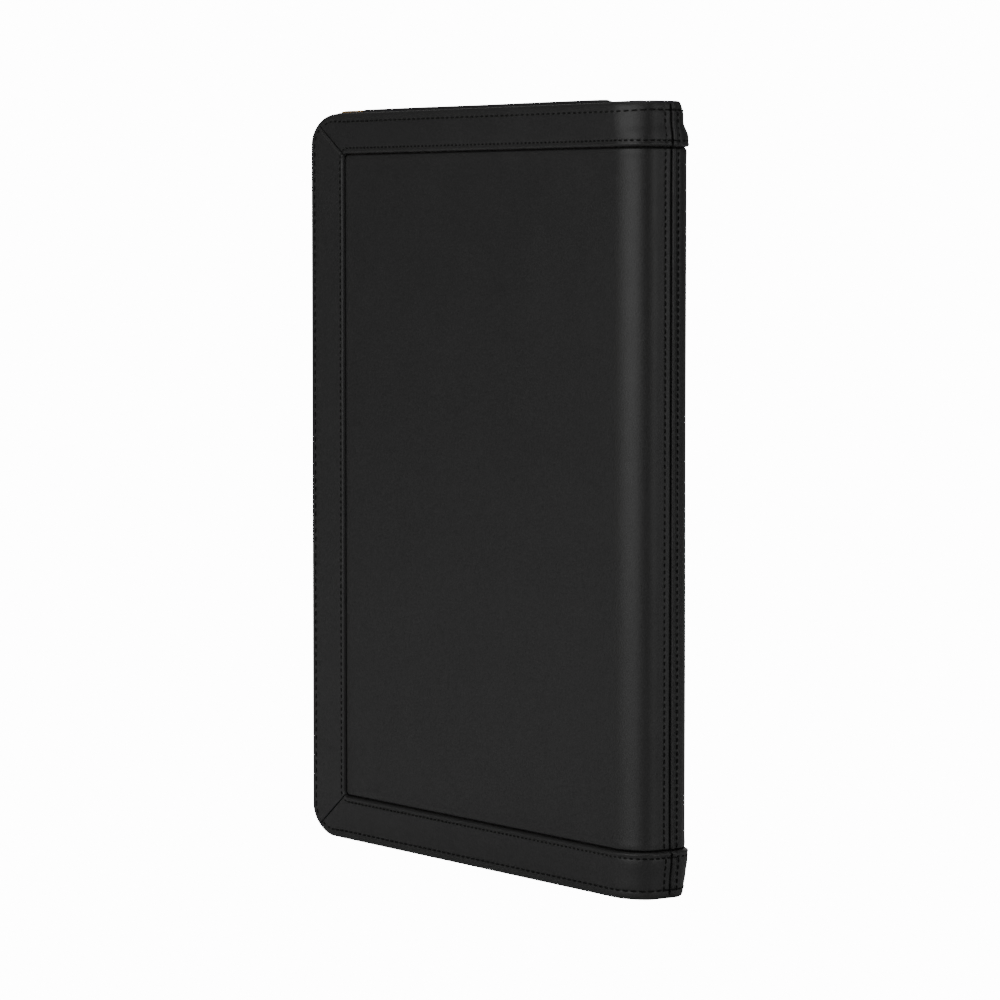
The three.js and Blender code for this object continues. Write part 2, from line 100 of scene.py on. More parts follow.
strip_lo, strip_hi = box_mm("front_border_top")
panel_lo = box_mm("front_panel")[0]
band_hi = box_mm("spine_band_bottom_front")[1]
board_hi = box_mm("spine_board")[1]
FIT = 0.3  # gap that the frame leaves between neighbours
HEIGHT = strip_hi[2]
HALF_T = -strip_lo[1]
FREE_X = box_mm("front_border_side")[0][0]
FOLD_X = strip_hi[0] + FIT
SPINE_X = band_hi[0]
BAND = band_hi[2]
RAISED = 1.1  # the window sits this far above the middle of the cover
BANDS = {"top": BAND - RAISED, "bottom": BAND + RAISED}
FOOT = BANDS["bottom"]  # the lower and upper end of the window
HEAD = HEIGHT - BANDS["top"]
BAND_SIDE = panel_lo[0] - FIT - FREE_X
RECESS = HALF_T + panel_lo[1]
SPINE_RX = SPINE_X - FOLD_X
SPINE_RY = HALF_T - board_hi[1]
FOLD_S = FOLD_X - FREE_X
CORNER_RX = 24  # the free corners are quarters of an ellipse
CORNER_RZ = 17
WINDOW_R = 2.5
SKIN_DEPTH = 2.0
PITCH_OUTER = 4.0
PITCH_INNER = 3.1
ROW_OUTER = 4.0  # outer stitch row, from the edge
ROW_INNER = 2.8  # inner stitch row, from the window
SEAM_Y = 2.0  # the upright seam lies a little to the rear of the spine's middle
SEAM_ROW = {-1: 3.3, 1: 3.6}  # stitch rows either side of the seam
SIDES = ((-1, "front"), (1, "rear"))

# ---- Shapes ----


def bell(x, width):
    return np.exp(-((x / width) ** 2))


def ease(x):
    t = np.clip(x, 0, 1)
    return t * t * (3 - 2 * t)


def spread(first, last, step):
    return np.linspace(first, last, max(2, round(abs(last - first) / step) + 1))


def lengths_along(points):
    steps = np.linalg.norm(np.diff(points, axis=0), axis=1)
    return np.concatenate([[0], np.cumsum(steps)])


def vectors(*parts):
    """Points or directions from their coordinates, each an array or a plain number."""
    return np.stack(np.broadcast_arrays(*parts), -1)


def read_off(where, lengths, values):
    """The values at given lengths along a line."""
    return vectors(*(np.interp(where, lengths, column) for column in values.T))


def unit(directions):
    return directions / np.linalg.norm(directions, axis=1, keepdims=True)


QUARTER = math.pi / 2
ARC_STEPS = 240
ARC_ANGLES = np.linspace(0, QUARTER, ARC_STEPS + 1)
ARC_POINTS = vectors(SPINE_RX * np.sin(ARC_ANGLES), SPINE_RY * np.cos(ARC_ANGLES))
ARC_LENGTHS = lengths_along(ARC_POINTS)
ARC = ARC_LENGTHS[-1]


def along(side, y):
    """How far round a half of the case a place on the flat of the spine is."""
    return FOLD_S + ARC + HALF_T - SPINE_RY - side * y


SEAM = {side: along(side, SEAM_Y) for side, _ in SIDES}


def wrapped(side, s, z, depth):
    """Points on a half of the case, s round its plan from the free edge towards the seam."""
    angle = np.interp(s - FOLD_S, ARC_LENGTHS, ARC_ANGLES)
    past = np.maximum(s - FOLD_S - ARC, 0)
    nx = np.sin(angle) / SPINE_RX
    ny = np.cos(angle) / SPINE_RY
    size = np.hypot(nx, ny)
    x = FREE_X + np.minimum(s, FOLD_S) + SPINE_RX * np.sin(angle) - depth * nx / size
    y = HALF_T - SPINE_RY * (1 - np.cos(angle)) - past - depth * ny / size
    return vectors(x, side * y, z)


def turned(s):
    """0 on the flat cover, 1 on the flat of the spine."""
    return ease((s - FOLD_S) / ARC)


def make_object(name, points, faces, place):
    """A smooth mesh, which keeps where each point lies on the flat, unrolled material."""
    mesh = bpy.data.meshes.new(name)
    mesh.from_pydata((points * MM).tolist(), [], faces)
    mesh.polygons.foreach_set("use_smooth", [True] * len(mesh.polygons))
    attribute = mesh.attributes.new("place", "FLOAT_VECTOR", "POINT")
    attribute.data.foreach_set("vector", (place * MM).astype(np.float32).ravel())
    mesh.update()
    return add(name, mesh)


def face_outwards(obj, weld=False):
    work = bmesh.new()
    work.from_mesh(obj.data)
    if weld:
        bmesh.ops.remove_doubles(work, verts=work.verts, dist=WELD)
    bmesh.ops.recalc_face_normals(work, faces=work.faces)
    work.to_mesh(obj.data)
    work.free()
    return obj


def grid_quads(rows, cols, start=0, closed=False):
    r = np.arange(rows - 1)[:, None]
    c = np.arange(cols if closed else cols - 1)[None, :]
    a = start + r * cols + c
    b = start + r * cols + (c + 1) % cols
    return vectors(a, b, b + cols, a + cols).reshape(-1, 4).tolist()


def ring_faces(rings, sides):
    """Faces of a body through closed rings, with a flat face at each end."""
    faces = grid_quads(rings, sides, closed=True)
    faces.append(list(range(sides)))
    faces.append(list(range((rings - 1) * sides, rings * sides)))
    return faces


def shell(name, outer, inner, place, closed=False):
    """A thin body between two matching grids of points: a sheet, or a sleeve where closed."""
    rows, cols = outer.shape[:2]
    count = rows * cols
    ids = np.arange(count).reshape(rows, cols)
    sheet_rim = np.concatenate([ids[0], ids[1:, -1], ids[-1, -2::-1], ids[-2:0:-1, 0]])
    faces = grid_quads(rows, cols, 0, closed) + grid_quads(rows, cols, count, closed)
    for rim in (ids[0], ids[-1]) if closed else (sheet_rim,):
        after = np.roll(rim, -1)
        faces += vectors(rim, after, after + count, rim + count).tolist()
    points = np.concatenate([outer.reshape(-1, 3), inner.reshape(-1, 3)])
    places = np.concatenate([place.reshape(-1, 3)] * 2)
    return face_outwards(make_object(name, points, faces, places))


def tube(name, rings, place):
    faces = ring_faces(*rings.shape[:2])
    return face_outwards(make_object(name, rings.reshape(-1, 3), faces, place.reshape(-1, 3)))


def copies(name, template, faces, centres, u, v, w):
    """One closed template, in its own u, v, w directions, at many places."""
    p = np.asarray(template, float)
    points = centres[:, None] + sum(p[:, k, None] * axis[:, None] for k, axis in enumerate((u, v, w)))
    count = len(p)
    starts = np.arange(len(centres)) * count
    all_faces = [[start + i for i in face] for start in starts.tolist() for face in faces]
    place = np.tile(p, (len(centres), 1))
    place[:, 1] += np.repeat(starts, count)
    return face_outwards(make_object(name, points.reshape(-1, 3), all_faces, place))


def merged(name, parts):
    """Several objects as one."""
    work = bmesh.new()
    for part in parts:
        work.from_mesh(part.data)
        bpy.data.objects.remove(part)
    mesh = bpy.data.meshes.new(name)
    work.to_mesh(mesh)
    work.free()
    return add(name, mesh)


def plate(name, outlines, thick, bevel, place):
    """A flat plate from closed outlines, the first outside and the others holes, with
    rounded edges. It lies in X and Y about its middle plane, and place moves it."""
    curve = bpy.data.curves.new(name, "CURVE")
    curve.dimensions = "2D"
    curve.fill_mode = "BOTH"
    curve.extrude = (thick / 2 - bevel) * MM
    curve.bevel_depth = bevel * MM
    curve.bevel_resolution = 3
    curve.offset = -bevel * MM
    for outline in outlines:
        spline = curve.splines.new("POLY")
        spline.points.add(len(outline) - 1)
        spline.use_cyclic_u = True
        for point, (x, y) in zip(spline.points, outline):
            point.co = (x * MM, y * MM, 0, 1)
    made = add(name, curve)
    graph = bpy.context.evaluated_depsgraph_get()
    mesh = bpy.data.meshes.new_from_object(made.evaluated_get(graph))
    bpy.data.objects.remove(made)
    mesh.transform(place)
    return flat_faced(face_outwards(add(name, mesh), weld=True))


def flat_faced(obj):
    obj.data.polygons.foreach_set("use_smooth", [False] * len(obj.data.polygons))
    return obj


CORNER_STEPS = 6


def arc(x, y, radius, angles):
    """Points on a circle round x and y."""
    return [(x + radius * math.cos(angle), y + radius * math.sin(angle)) for angle in angles]


def full_turn(sides, start=0.0):
    """Angles once round a circle. The first is the given share of a step on."""
    return (np.arange(sides) + start) * 2 * math.pi / sides


def both_halves(rings):
    """The rings of a symmetric body from those of one half. Each starts with its place."""
    return (*((-at, *rest) for at, *rest in rings), *rings[::-1])


def rounded(x0, x1, y0, y1, radius):
    """A rectangle with round corners, as points."""
    left, right, low, high = x0 + radius, x1 - radius, y0 + radius, y1 - radius
    points = []
    for turn, (x, y) in enumerate(((right, high), (left, high), (left, low), (right, low))):
        points += arc(x, y, radius, np.linspace(turn, turn + 1, CORNER_STEPS + 1) * QUARTER)
    return points


def shift(x, y, z):
    return Matrix.Translation(Vector((x, y, z)) * MM)


UPRIGHT = Matrix.Rotation(math.radians(90), 4, "X")  # a plate turned to lie in X and Z


# ---- Materials ----


def rgba(colour):
    """A grey number or a red, green and blue, as a socket keeps it."""
    return (*colour, 1) if isinstance(colour, tuple) else (colour, colour, colour, 1)


class Finish:
    """A node material built round one Principled shader."""

    def __init__(self, name, on_cad=False, **settings):
        self.material = bpy.data.materials.new(name)
        self.material.use_nodes = True
        self.tree = self.material.node_tree
        self.shader = self.tree.nodes["Principled BSDF"]
        self.fill(self.shader, settings)
        if on_cad:
            self.place = self.node("ShaderNodeTexCoord").outputs["Object"]
        else:
            spot = self.node("ShaderNodeAttribute")
            spot.attribute_name = "place"
            self.place = spot.outputs["Vector"]

    def put(self, socket, value):
        """Links another node's socket, or sets a plain number or colour."""
        if isinstance(value, bpy.types.NodeSocket):
            self.tree.links.new(value, socket)
        else:
            socket.default_value = rgba(value) if socket.type == "RGBA" else value

    def fill(self, node, inputs):
        for key, value in inputs.items():
            self.put(node.inputs[key.replace("_", " ")], value)

    def node(self, kind, **inputs):
        made = self.tree.nodes.new(kind)
        self.fill(made, inputs)
        return made

    def noise(self, scale, detail=3, drawn=None):
        """A cloudy pattern, drawn out in Z where it is scaled there by less than 1."""
        place = self.place
        if drawn:
            place = self.node("ShaderNodeMapping", Vector=place, Scale=(1, 1, drawn)).outputs[0]
        settings = {"Scale": scale, "Detail": detail, "Roughness": 0.5}
        return self.node("ShaderNodeTexNoise", Vector=place, **settings).outputs["Fac"]

    def cells(self, scale):
        return self.node("ShaderNodeTexVoronoi", Vector=self.place, Scale=scale).outputs["Distance"]

    def bands(self, scale, direction, distortion=0.0):
        made = self.node("ShaderNodeTexWave", Vector=self.place, Scale=scale, Distortion=distortion)
        made.bands_direction = direction
        return made.outputs["Fac"]

    def math(self, operation, a, b=0.0, c=0.0):
        made = self.node("ShaderNodeMath")
        made.operation = operation
        for socket, value in zip(made.inputs, (a, b, c)):
            self.put(socket, value)
        return made.outputs[0]

    def axis(self, name):
        return self.node("ShaderNodeSeparateXYZ", Vector=self.place).outputs[name]

    def ramp(self, value, *stops):
        made = self.node("ShaderNodeValToRGB", Fac=value)
        elements = made.color_ramp.elements
        while len(elements) < len(stops):
            elements.new(0.5)
        for element, (at, colour) in zip(elements, stops):
            element.position = at
            element.color = rgba(colour)
        return made.outputs["Color"]

    def mix(self, share, a, b, strength=None):
        """From one colour to another, as far as the share times the strength."""
        if strength:
            share = self.math("MULTIPLY", share, strength)
        made = self.node("ShaderNodeMix")
        made.data_type = "RGBA"
        factor, colour_a, colour_b = made.inputs[0], made.inputs[6], made.inputs[7]
        for socket, value in ((factor, share), (colour_a, a), (colour_b, b)):
            self.put(socket, value)
        return made.outputs[2]

    def bump(self, height, millimetres, strength=1.0, before=None):
        made = self.node("ShaderNodeBump", Strength=strength, Distance=millimetres * MM, Height=height)
        if before is not None:
            self.put(made.inputs["Normal"], before)
        return made.outputs["Normal"]

    def done(self, colour, pattern, gain, base, normal):
        """The finished material. Its roughness is the pattern, times the gain, plus the base."""
        rough = self.math("MULTIPLY_ADD", pattern, gain, base)
        self.fill(self.shader, {"Base_Color": colour, "Roughness": rough, "Normal": normal})
        return self.material


def leatherette(name, tone, shine):
    f = Finish(name, Specular_IOR_Level=0.5)
    grain = f.cells(1900)
    pores = f.noise(5200, detail=2)
    creases = f.noise(240, detail=4)
    cloud = f.noise(22, detail=3)
    fine = f.bump(pores, 0.05, 0.5)
    pebbled = f.bump(grain, 0.09, 0.55, fine)
    normal = f.bump(creases, 0.25, 0.22, pebbled)
    base = f.ramp(cloud, (0.3, tone * 0.85), (0.7, tone * 1.15))
    colour = f.mix(f.ramp(grain, (0.1, 0.0), (0.75, 0.5)), base, tone * 0.5)
    # Painted highlight: sharp convex edges and rims are painted lighter, standing in for the light they
    # catch.
    convexity = f.node("ShaderNodeNewGeometry").outputs["Pointiness"]
    painted_rim_highlight = f.ramp(convexity, (0.53, 0.0), (0.62, 1.0))
    colour = f.mix(painted_rim_highlight, colour, tone * 3, 0.35)
    mottled = f.math("MULTIPLY_ADD", f.noise(60, detail=3), 0.14, shine - 0.07)
    return f.done(colour, pores, 0.06, mottled, normal)


def bands_every(millimetres):
    """The scale at which a wave texture's bands are so far apart."""
    return math.pi / (10 * millimetres * MM)


def cloth(name, light, dark, thread_mm, height, sheen=0.15):
    """A plain weave of round threads."""
    f = Finish(name, Specular_IOR_Level=0.3, Sheen_Weight=sheen)
    scale = bands_every(thread_mm)
    warp = f.bands(scale, "X", 0.3)
    weft = f.bands(scale, "Z", 0.3)
    weave = f.math("MAXIMUM", warp, weft)
    cloud = f.noise(40, detail=3)
    fuzz = f.noise(6000, detail=2)
    colour = f.mix(f.ramp(weave, (0.2, 0.0), (0.9, 1.0)), dark, light)
    colour = f.mix(cloud, colour, dark, 0.4)
    normal = f.bump(weave, height, 0.8, f.bump(fuzz, 0.05, 0.4))
    return f.done(colour, cloud, 0.15, 0.75, normal)


def thread():
    f = Finish("thread", Specular_IOR_Level=0.18)
    ply = f.bands(420, "DIAGONAL")
    colour = f.ramp(ply, (0.1, 0.003), (0.9, 0.009))
    return f.done(colour, f.noise(900), 0.2, 0.7, f.bump(ply, 0.12, 0.7))


def brass(name, on_cad=False):
    f = Finish(name, on_cad, Metallic=1.0)
    scuffs = f.noise(900, detail=5, drawn=0.15)
    stain = f.noise(160, detail=3)
    clean, tarnished = (0.62, 0.39, 0.13), (0.36, 0.2, 0.06)
    colour = f.mix(f.ramp(stain, (0.35, 0.0), (0.75, 1.0)), clean, tarnished)
    return f.done(colour, scuffs, 0.3, 0.18, f.bump(scuffs, 0.02, 0.4))


RULE_EVERY = 8
MARGIN = 25


def paper(name, ruled=False):
    f = Finish(name, Specular_IOR_Level=0.25)
    fibres = f.noise(2600, detail=4, drawn=0.4)
    colour = f.ramp(f.noise(18), (0.3, (0.80, 0.79, 0.74)), (0.7, (0.86, 0.85, 0.81)))
    if ruled:
        down = f.math("DIVIDE", f.axis("Z"), RULE_EVERY * MM)
        near = f.math("ABSOLUTE", f.math("SUBTRACT", f.math("FRACT", down), 0.5))
        line = f.ramp(near, (0.0, 1.0), (0.02, 1.0), (0.035, 0.0))
        colour = f.mix(line, colour, (0.32, 0.42, 0.58), 0.75)
        margin = f.math("ABSOLUTE", f.math("SUBTRACT", f.axis("X"), MARGIN * MM))
        red = f.ramp(f.math("DIVIDE", margin, MM), (0.0, 1.0), (0.12, 1.0), (0.2, 0.0))
        colour = f.mix(red, colour, (0.65, 0.25, 0.25), 0.7)
    return f.done(colour, fibres, 0.1, 0.8, f.bump(fibres, 0.03, 0.4))


def cardboard():
    f = Finish("card_cad", on_cad=True, Specular_IOR_Level=0.2)
    fibres = f.noise(1400, detail=5, drawn=0.25)
    flecks = f.cells(500)
    colour = f.ramp(fibres, (0.3, (0.20, 0.15, 0.10)), (0.7, (0.34, 0.27, 0.19)))
    colour = f.mix(f.ramp(flecks, (0.02, 0.5), (0.1, 0.0)), colour, (0.12, 0.09, 0.06))
    return f.done(colour, fibres, 0.1, 0.82, f.bump(fibres, 0.08, 0.5))


RIB_PITCH = 1.1  # the pen loop is a ribbed elastic


def elastic():
    f = Finish("elastic", Specular_IOR_Level=0.25, Sheen_Weight=0.2)
    cords = f.bands(bands_every(RIB_PITCH), "Z")
    knit = f.bands(bands_every(0.45), "X", 0.5)
    rib = f.math("MULTIPLY_ADD", cords, 0.7, f.math("MULTIPLY", knit, 0.3))
    colour = f.ramp(rib, (0.1, 0.003), (0.9, 0.018))
    return f.done(colour, f.noise(500), 0.15, 0.75, f.bump(rib, 0.3, 0.8))


LEATHER = leatherette("leatherette", 0.012, 0.42)
LEATHER_BAND = leatherette("leatherette_strip", 0.013, 0.43)
LINING = cloth("lining_fabric", 0.024, 0.007, 0.55, 0.12)
POCKET = cloth("pocket_fabric", 0.034, 0.010, 0.8, 0.18)
TAPE = cloth("zip_tape_weave", 0.010, 0.003, 0.5, 0.14, sheen=0.05)
CLOTH_BINDING = cloth("binding_cloth", 0.02, 0.006, 0.3, 0.06)
THREAD = thread()
BRASS = brass("brass")
BRASS_CAST = brass("brass_cast", on_cad=True)
PAPER_TOP = paper("ruled_paper", ruled=True)
PAPER = paper("page_stack")
CARD = cardboard()
ELASTIC = elastic()


def painted(obj, material):
    obj.data.materials.clear()
    obj.data.materials.append(material)


def finish_piece(obj, material, slot, body, *replaced):
    """Material and body of a piece, with the parts it replaces hidden. The slot is not used. A side in
    place of a body's name leaves the piece fixed where it stands.
    """
    painted(obj, material)
    if replaced:
        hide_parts(*replaced)
    if isinstance(body, int):
        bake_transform(obj)
    else:
        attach(obj, body)


# ---- Stitching ----
# Each ring of a stitch: place along it as a share of its length, size, and lift.
STITCH_END = ((0.5, 0.35, -0.42), (0.42, 0.8, -0.16), (0.2, 1.0, 0.06))
STITCH_RINGS = both_halves(STITCH_END)
STITCH_SHARE = 0.78  # of the pitch; the rest is the needle hole
STITCH_HALF_WIDTH = 0.42
STITCH_HALF_HEIGHT = 0.3
STITCH_SIDES = 6


def needle(length, pitch):
    """Deepest at the needle holes, which lie at whole multiples of the pitch."""
    return 0.55 + 0.45 * np.cos(2 * math.pi * length / pitch)


def stitch_row(side, s, z, depth, pitch, margin=0.0, facing=1):
    """Places and directions of the stitches along a row on a half of the case, seen from
    outside, or from inside where facing is -1."""
    points = wrapped(side, s, z, depth)
    outward = wrapped(side, s, z, depth - 1) - points
    lengths = lengths_along(points)
    middles = np.arange(pitch / 2 + margin, lengths[-1] - pitch / 2 - margin, pitch)
    ahead = read_off(middles + 0.5, lengths, points)
    u = unit(ahead - read_off(middles - 0.5, lengths, points))
    w = unit(read_off(middles, lengths, outward))
    centres = read_off(middles, lengths, points)
    return centres, u * STITCH_SHARE * pitch, np.cross(w, u) * facing, w * facing


def together(*groups):
    return tuple(np.concatenate(part) for part in zip(*groups))


def stitches(name, rows, slot, body):
    """All the stitches of some rows, as one piece."""
    template = []
    for along_share, size, lift in STITCH_RINGS:
        for x, y in arc(0, 0, size, full_turn(STITCH_SIDES, 0.5)):
            template.append((along_share, STITCH_HALF_WIDTH * x, STITCH_HALF_HEIGHT * y + lift))
    faces = ring_faces(len(STITCH_RINGS), STITCH_SIDES)
    obj = copies(name, template, faces, *together(*rows))
    finish_piece(obj, THREAD, slot, body)


# ---- Skin of the covers and spine ----
# Beside the seam the leatherette turns down and then swells. For both: how far in, how far from
# the seam, and how wide.
SEAM_SHAPE = {-1: ((1.0, 0, 0.38), (-0.2, 1.4, 0.7)), 1: ((1.1, 0, 0.3), (-0.9, 1.3, 0.8))}


def seam_relief(side, s, z):
    """The turned edge, the ridge and the sewn channel beside the upright seam."""
    q = SEAM[side] - s
    relief = sum(into * bell(q - at, width) for into, at, width in SEAM_SHAPE[side])
    return relief + 0.26 * bell(q - SEAM_ROW[side], 0.5) * needle(z, PITCH_INNER) ** 2


def window_distance(s, z):
    """How far a point of the panel is from the border strips, with the window's round corners."""
    end = np.minimum(z - FOOT, HEAD - z)
    edge = np.minimum(end, s - BAND_SIDE)
    dx = WINDOW_R - (s - BAND_SIDE)
    dz = WINDOW_R - end
    return np.where((dx > 0) & (dz > 0), WINDOW_R - np.hypot(dx, dz), edge)


def panel_depth(side, s, z):
    edge = window_distance(s, z)
    groove = 0.9 * bell(np.maximum(edge, 0), 0.5) - 0.12 * bell(edge - 2.6, 1.6)
    slow = np.sin(s / 31 + 1.3 * side) * np.sin(z / 47 + 0.6) + 0.5 * np.sin(s / 13 + z / 29)
    waves = 0.07 * slow * ease(edge / 20)
    return RECESS - 0.5 * turned(s + 3) + groove + waves + seam_relief(side, s, z)


# Steps between columns on the flat cover, round the fold and beside the seam.
FLAT_STEP = 5
FOLD_STEP = 0.9
SEAM_STEP = 0.25


def seam_columns(side):
    end = SEAM[side]
    fold = spread(FOLD_S - 2, end - 6, FOLD_STEP)
    return np.concatenate([fold, spread(end - 5.6, end, SEAM_STEP)])


TUCK = 0.7  # the panel goes this far under the border strips
NEAR_WINDOW = (-TUCK, 0, 0.2, 0.4, 0.7, 1.0, 1.4, 2.0, 3.0, 4.2, 6.0, 9.0)
NEAR_BAND = (0, 0.3, 0.6, 0.9, 1.2, 1.6, 2.0, 2.6)
THINNEST = 0.05  # of the panel's skin


def panel(side, word):
    near = BAND_SIDE + np.array(NEAR_WINDOW)
    flat = spread(BAND_SIDE + 13, FOLD_S - 4, FLAT_STEP)
    s = np.concatenate([near, flat, seam_columns(side)])
    z = spread(FOOT - TUCK, HEAD + TUCK, PITCH_INNER / 4)
    fine = np.array(NEAR_BAND)
    z = np.unique(np.concatenate([z, FOOT + fine, HEAD - fine]))
    ss, zz = np.meshgrid(s, z)
    depth = np.minimum(panel_depth(side, ss, zz), SKIN_DEPTH - THINNEST)
    outer = wrapped(side, ss, zz, depth)
    inner = wrapped(side, ss, zz, SKIN_DEPTH + THINNEST)
    obj = shell(f"{word}_panel_skin", outer, inner, vectors(ss, depth, zz))
    finish_piece(obj, LEATHER, "leatherette", side, f"{word}_panel", f"spine_skin_{word}")


# A border strip is a row of sections square to the edge. Each column has a point on the outline,
# the inward direction there, and a point on the window's edge. A section's points are distances
# from the edge, with the depth where the leatherette wraps round the edge and comes back under.
WRAP_SECTION = ((1.6, 5.0), (0.9, 5.0), (0.35, 4.85), (0.06, 4.45), (0.0, 3.6), (0.0, 2.2),
                (0.08, 1.35), (0.34, 0.68), (0.78, 0.26), (1.3, 0.06))
UNDERSIDE = ((1.0, 2.0), (1.0, 4.3), (1.6, 4.4))
FROM_EDGE = (1.8, 2.6, 3.2, 3.6, 4.0, 4.4, 4.8, 5.6, 6.8)
FROM_WINDOW = (5.4, 4.2, 3.5, 3.1, 2.8, 2.5, 2.1, 1.7, 1.4, 1.1, 0.85, 0.62, 0.42, 0.26, 0.12,
               0.04, 0)
FROM_MITRE = (0.12, 0.3, 0.5, 0.75, 1.1, 1.6, 2.3, 3.2, 4.4, 5.6)
EDGE_ROUND = 1.0
TIGHTER = 2.6  # the strips' corners are this much tighter than the board's
STRIP_RX = CORNER_RX - TIGHTER
STRIP_RZ = CORNER_RZ - TIGHTER
PROUD = 0.4  # the turned leatherette stands this far off the edge
SPINE_RISE = 0.7  # and this much more over the top of the spine
MIDDLE_STEPS = 4
CORNER_POINTS = 61
MITRE_STEPS = 22
STRIP_THINNEST = 0.12
SPINE_THINNER = 0.3  # the share of its depth that a strip's turned edge loses on the spine
BETWEEN_HOLES = (1.8, 1.55)  # lengths along the outer and inner row, clear of the needle holes


def corner_columns(band):
    """The columns of an upper corner, from the top's straight stretch to the side's."""
    centre = np.array([BAND_SIDE + WINDOW_R, HEIGHT - band - WINDOW_R])
    angles = np.linspace(QUARTER, 2 * QUARTER, CORNER_POINTS)
    round_x = STRIP_RX + STRIP_RX * np.cos(angles)
    round_z = HEIGHT - STRIP_RZ + STRIP_RZ * np.sin(angles)
    ends = [[centre[0], HEIGHT]], [[0, centre[1]]]
    path = np.concatenate([ends[0], vectors(round_x, round_z), ends[1]])
    run = lengths_along(path)
    ratio = (HEIGHT - path[:, 1]) / np.maximum(path[:, 0], 1e-9)
    meet = np.interp(band / BAND_SIDE, ratio[:-1], run[:-1])
    near = np.array(FROM_MITRE)
    halves = []
    for first, last, turn in ((0, meet, 1), (meet, run[-1], 1.5)):
        size = last - first
        far = np.linspace(0, 1 - near[-1] / size, MITRE_STEPS)
        share = np.concatenate([far, 1 - near[-2::-1] / size, [1]])
        if first > 0:
            share = (1 - share)[::-1]
        length = first + share * size
        step = unit(read_off(length + 0.3, run, path) - read_off(length - 0.3, run, path))
        inward = step[:, ::-1] * (-1, 1)
        angle = QUARTER * (turn + share / 2)
        inner = centre + WINDOW_R * vectors(np.cos(angle), np.sin(angle))
        halves.append((read_off(length, run, path), inward, inner))
    return halves


def straight_columns(outer, inner):
    outer, inner = vectors(*outer), vectors(*inner)
    return outer, unit(inner - outer), inner


def upside_down(columns):
    outer, inward, inner = (points * (1, -1) for points in columns)
    return outer + (0, HEIGHT), inward, inner + (0, HEIGHT)


def strip_columns(side):
    step = PITCH_OUTER / 4
    rest = WINDOW_R + 1
    cover = spread(FOLD_S - 3, BAND_SIDE + rest, step)
    run = np.concatenate([seam_columns(side)[::-1], cover])
    level, halves = {}, {}
    for end, band in BANDS.items():
        first_half, halves[end] = corner_columns(band)
        row = straight_columns((run, HEIGHT), (run, HEIGHT - band))
        level[end] = together(row, first_half)
    z = spread(HEAD - rest, FOOT + rest, step)
    middle = straight_columns((0, z), (BAND_SIDE, z))
    lower = tuple(part[::-1] for part in upside_down(halves["bottom"]))
    upright = together(halves["top"], middle, lower)
    return {"top": level["top"], "side": upright, "bottom": upside_down(level["bottom"])}


def mitre_distance(s, z):
    """Distance from the nearer mitre line, from outer corner to window corner."""
    zz = np.minimum(z, HEIGHT - z)
    band = np.where(z > HEIGHT / 2, BANDS["top"], BANDS["bottom"])
    return np.abs(s * band - zz * BAND_SIDE) / np.hypot(BAND_SIDE, band)


def strip_depth(side, part, s, z, a, b, run_outer, run_inner):
    """Depth of a border strip, a from the outer edge and b from the window."""
    sunk, swell, ridge = 0.24, 0.24, 0.05
    if part == "side":
        sunk, swell, ridge = 0.1, 0.36, np.where(z > HEIGHT / 2, 0.45, 0.12)
    rows = bell(a - ROW_OUTER, 0.55) * needle(run_outer, PITCH_OUTER)
    rows = rows + bell(b - ROW_INNER, 0.5) * needle(run_inner, PITCH_INNER)
    corner = np.clip(1 - b / EDGE_ROUND, 0, 1)
    rim = (SKIN_DEPTH - 0.2) * (1 - np.sqrt(1 - corner**2))
    slow = np.sin((run_outer + 40 * side) / 17) + 0.6 * np.sin(run_outer / 7.3)
    waves = 0.05 * slow * ease((a - 2) / 4) * ease(b / 4)
    mitre = mitre_distance(s, z)
    groove = 0.8 * bell(mitre, 0.2) - ridge * bell(mitre - 1.0, 0.55)
    groove = np.where((s < BAND_SIDE + 6) & (a > 1.5), groove, 0)
    seam = 0 if part == "side" else seam_relief(side, s, z) * ease((a - 0.5) / 1.5)
    return sunk * rows - 0.08 - swell * bell(b - 1.25, 0.6) + rim + waves + groove + seam


def flare(side, part, s, a):
    """On the spine the strips are drawn in at the edge and stand off towards the panel."""
    if part == "side":
        return 0
    if part == "top":
        drawn_in = 2.2 * (1 - ease((a - 8.5) / 6.5)) + 1.6 * (1 - ease(a / 6))
    else:
        drawn_in = 1.6 * (1 - ease(a / 11))
    off = 0.5 if part == "top" else 1.0
    bend = np.sin(math.pi * np.clip((s - FOLD_S + 2) / (ARC + 4), 0, 1)) ** 2
    share = 0.3 * turned(s + 4) + (0.2 if side < 0 else 0.6) * bend
    return share * drawn_in - turned(s + 4) * off * ease((a - 9) / 8)


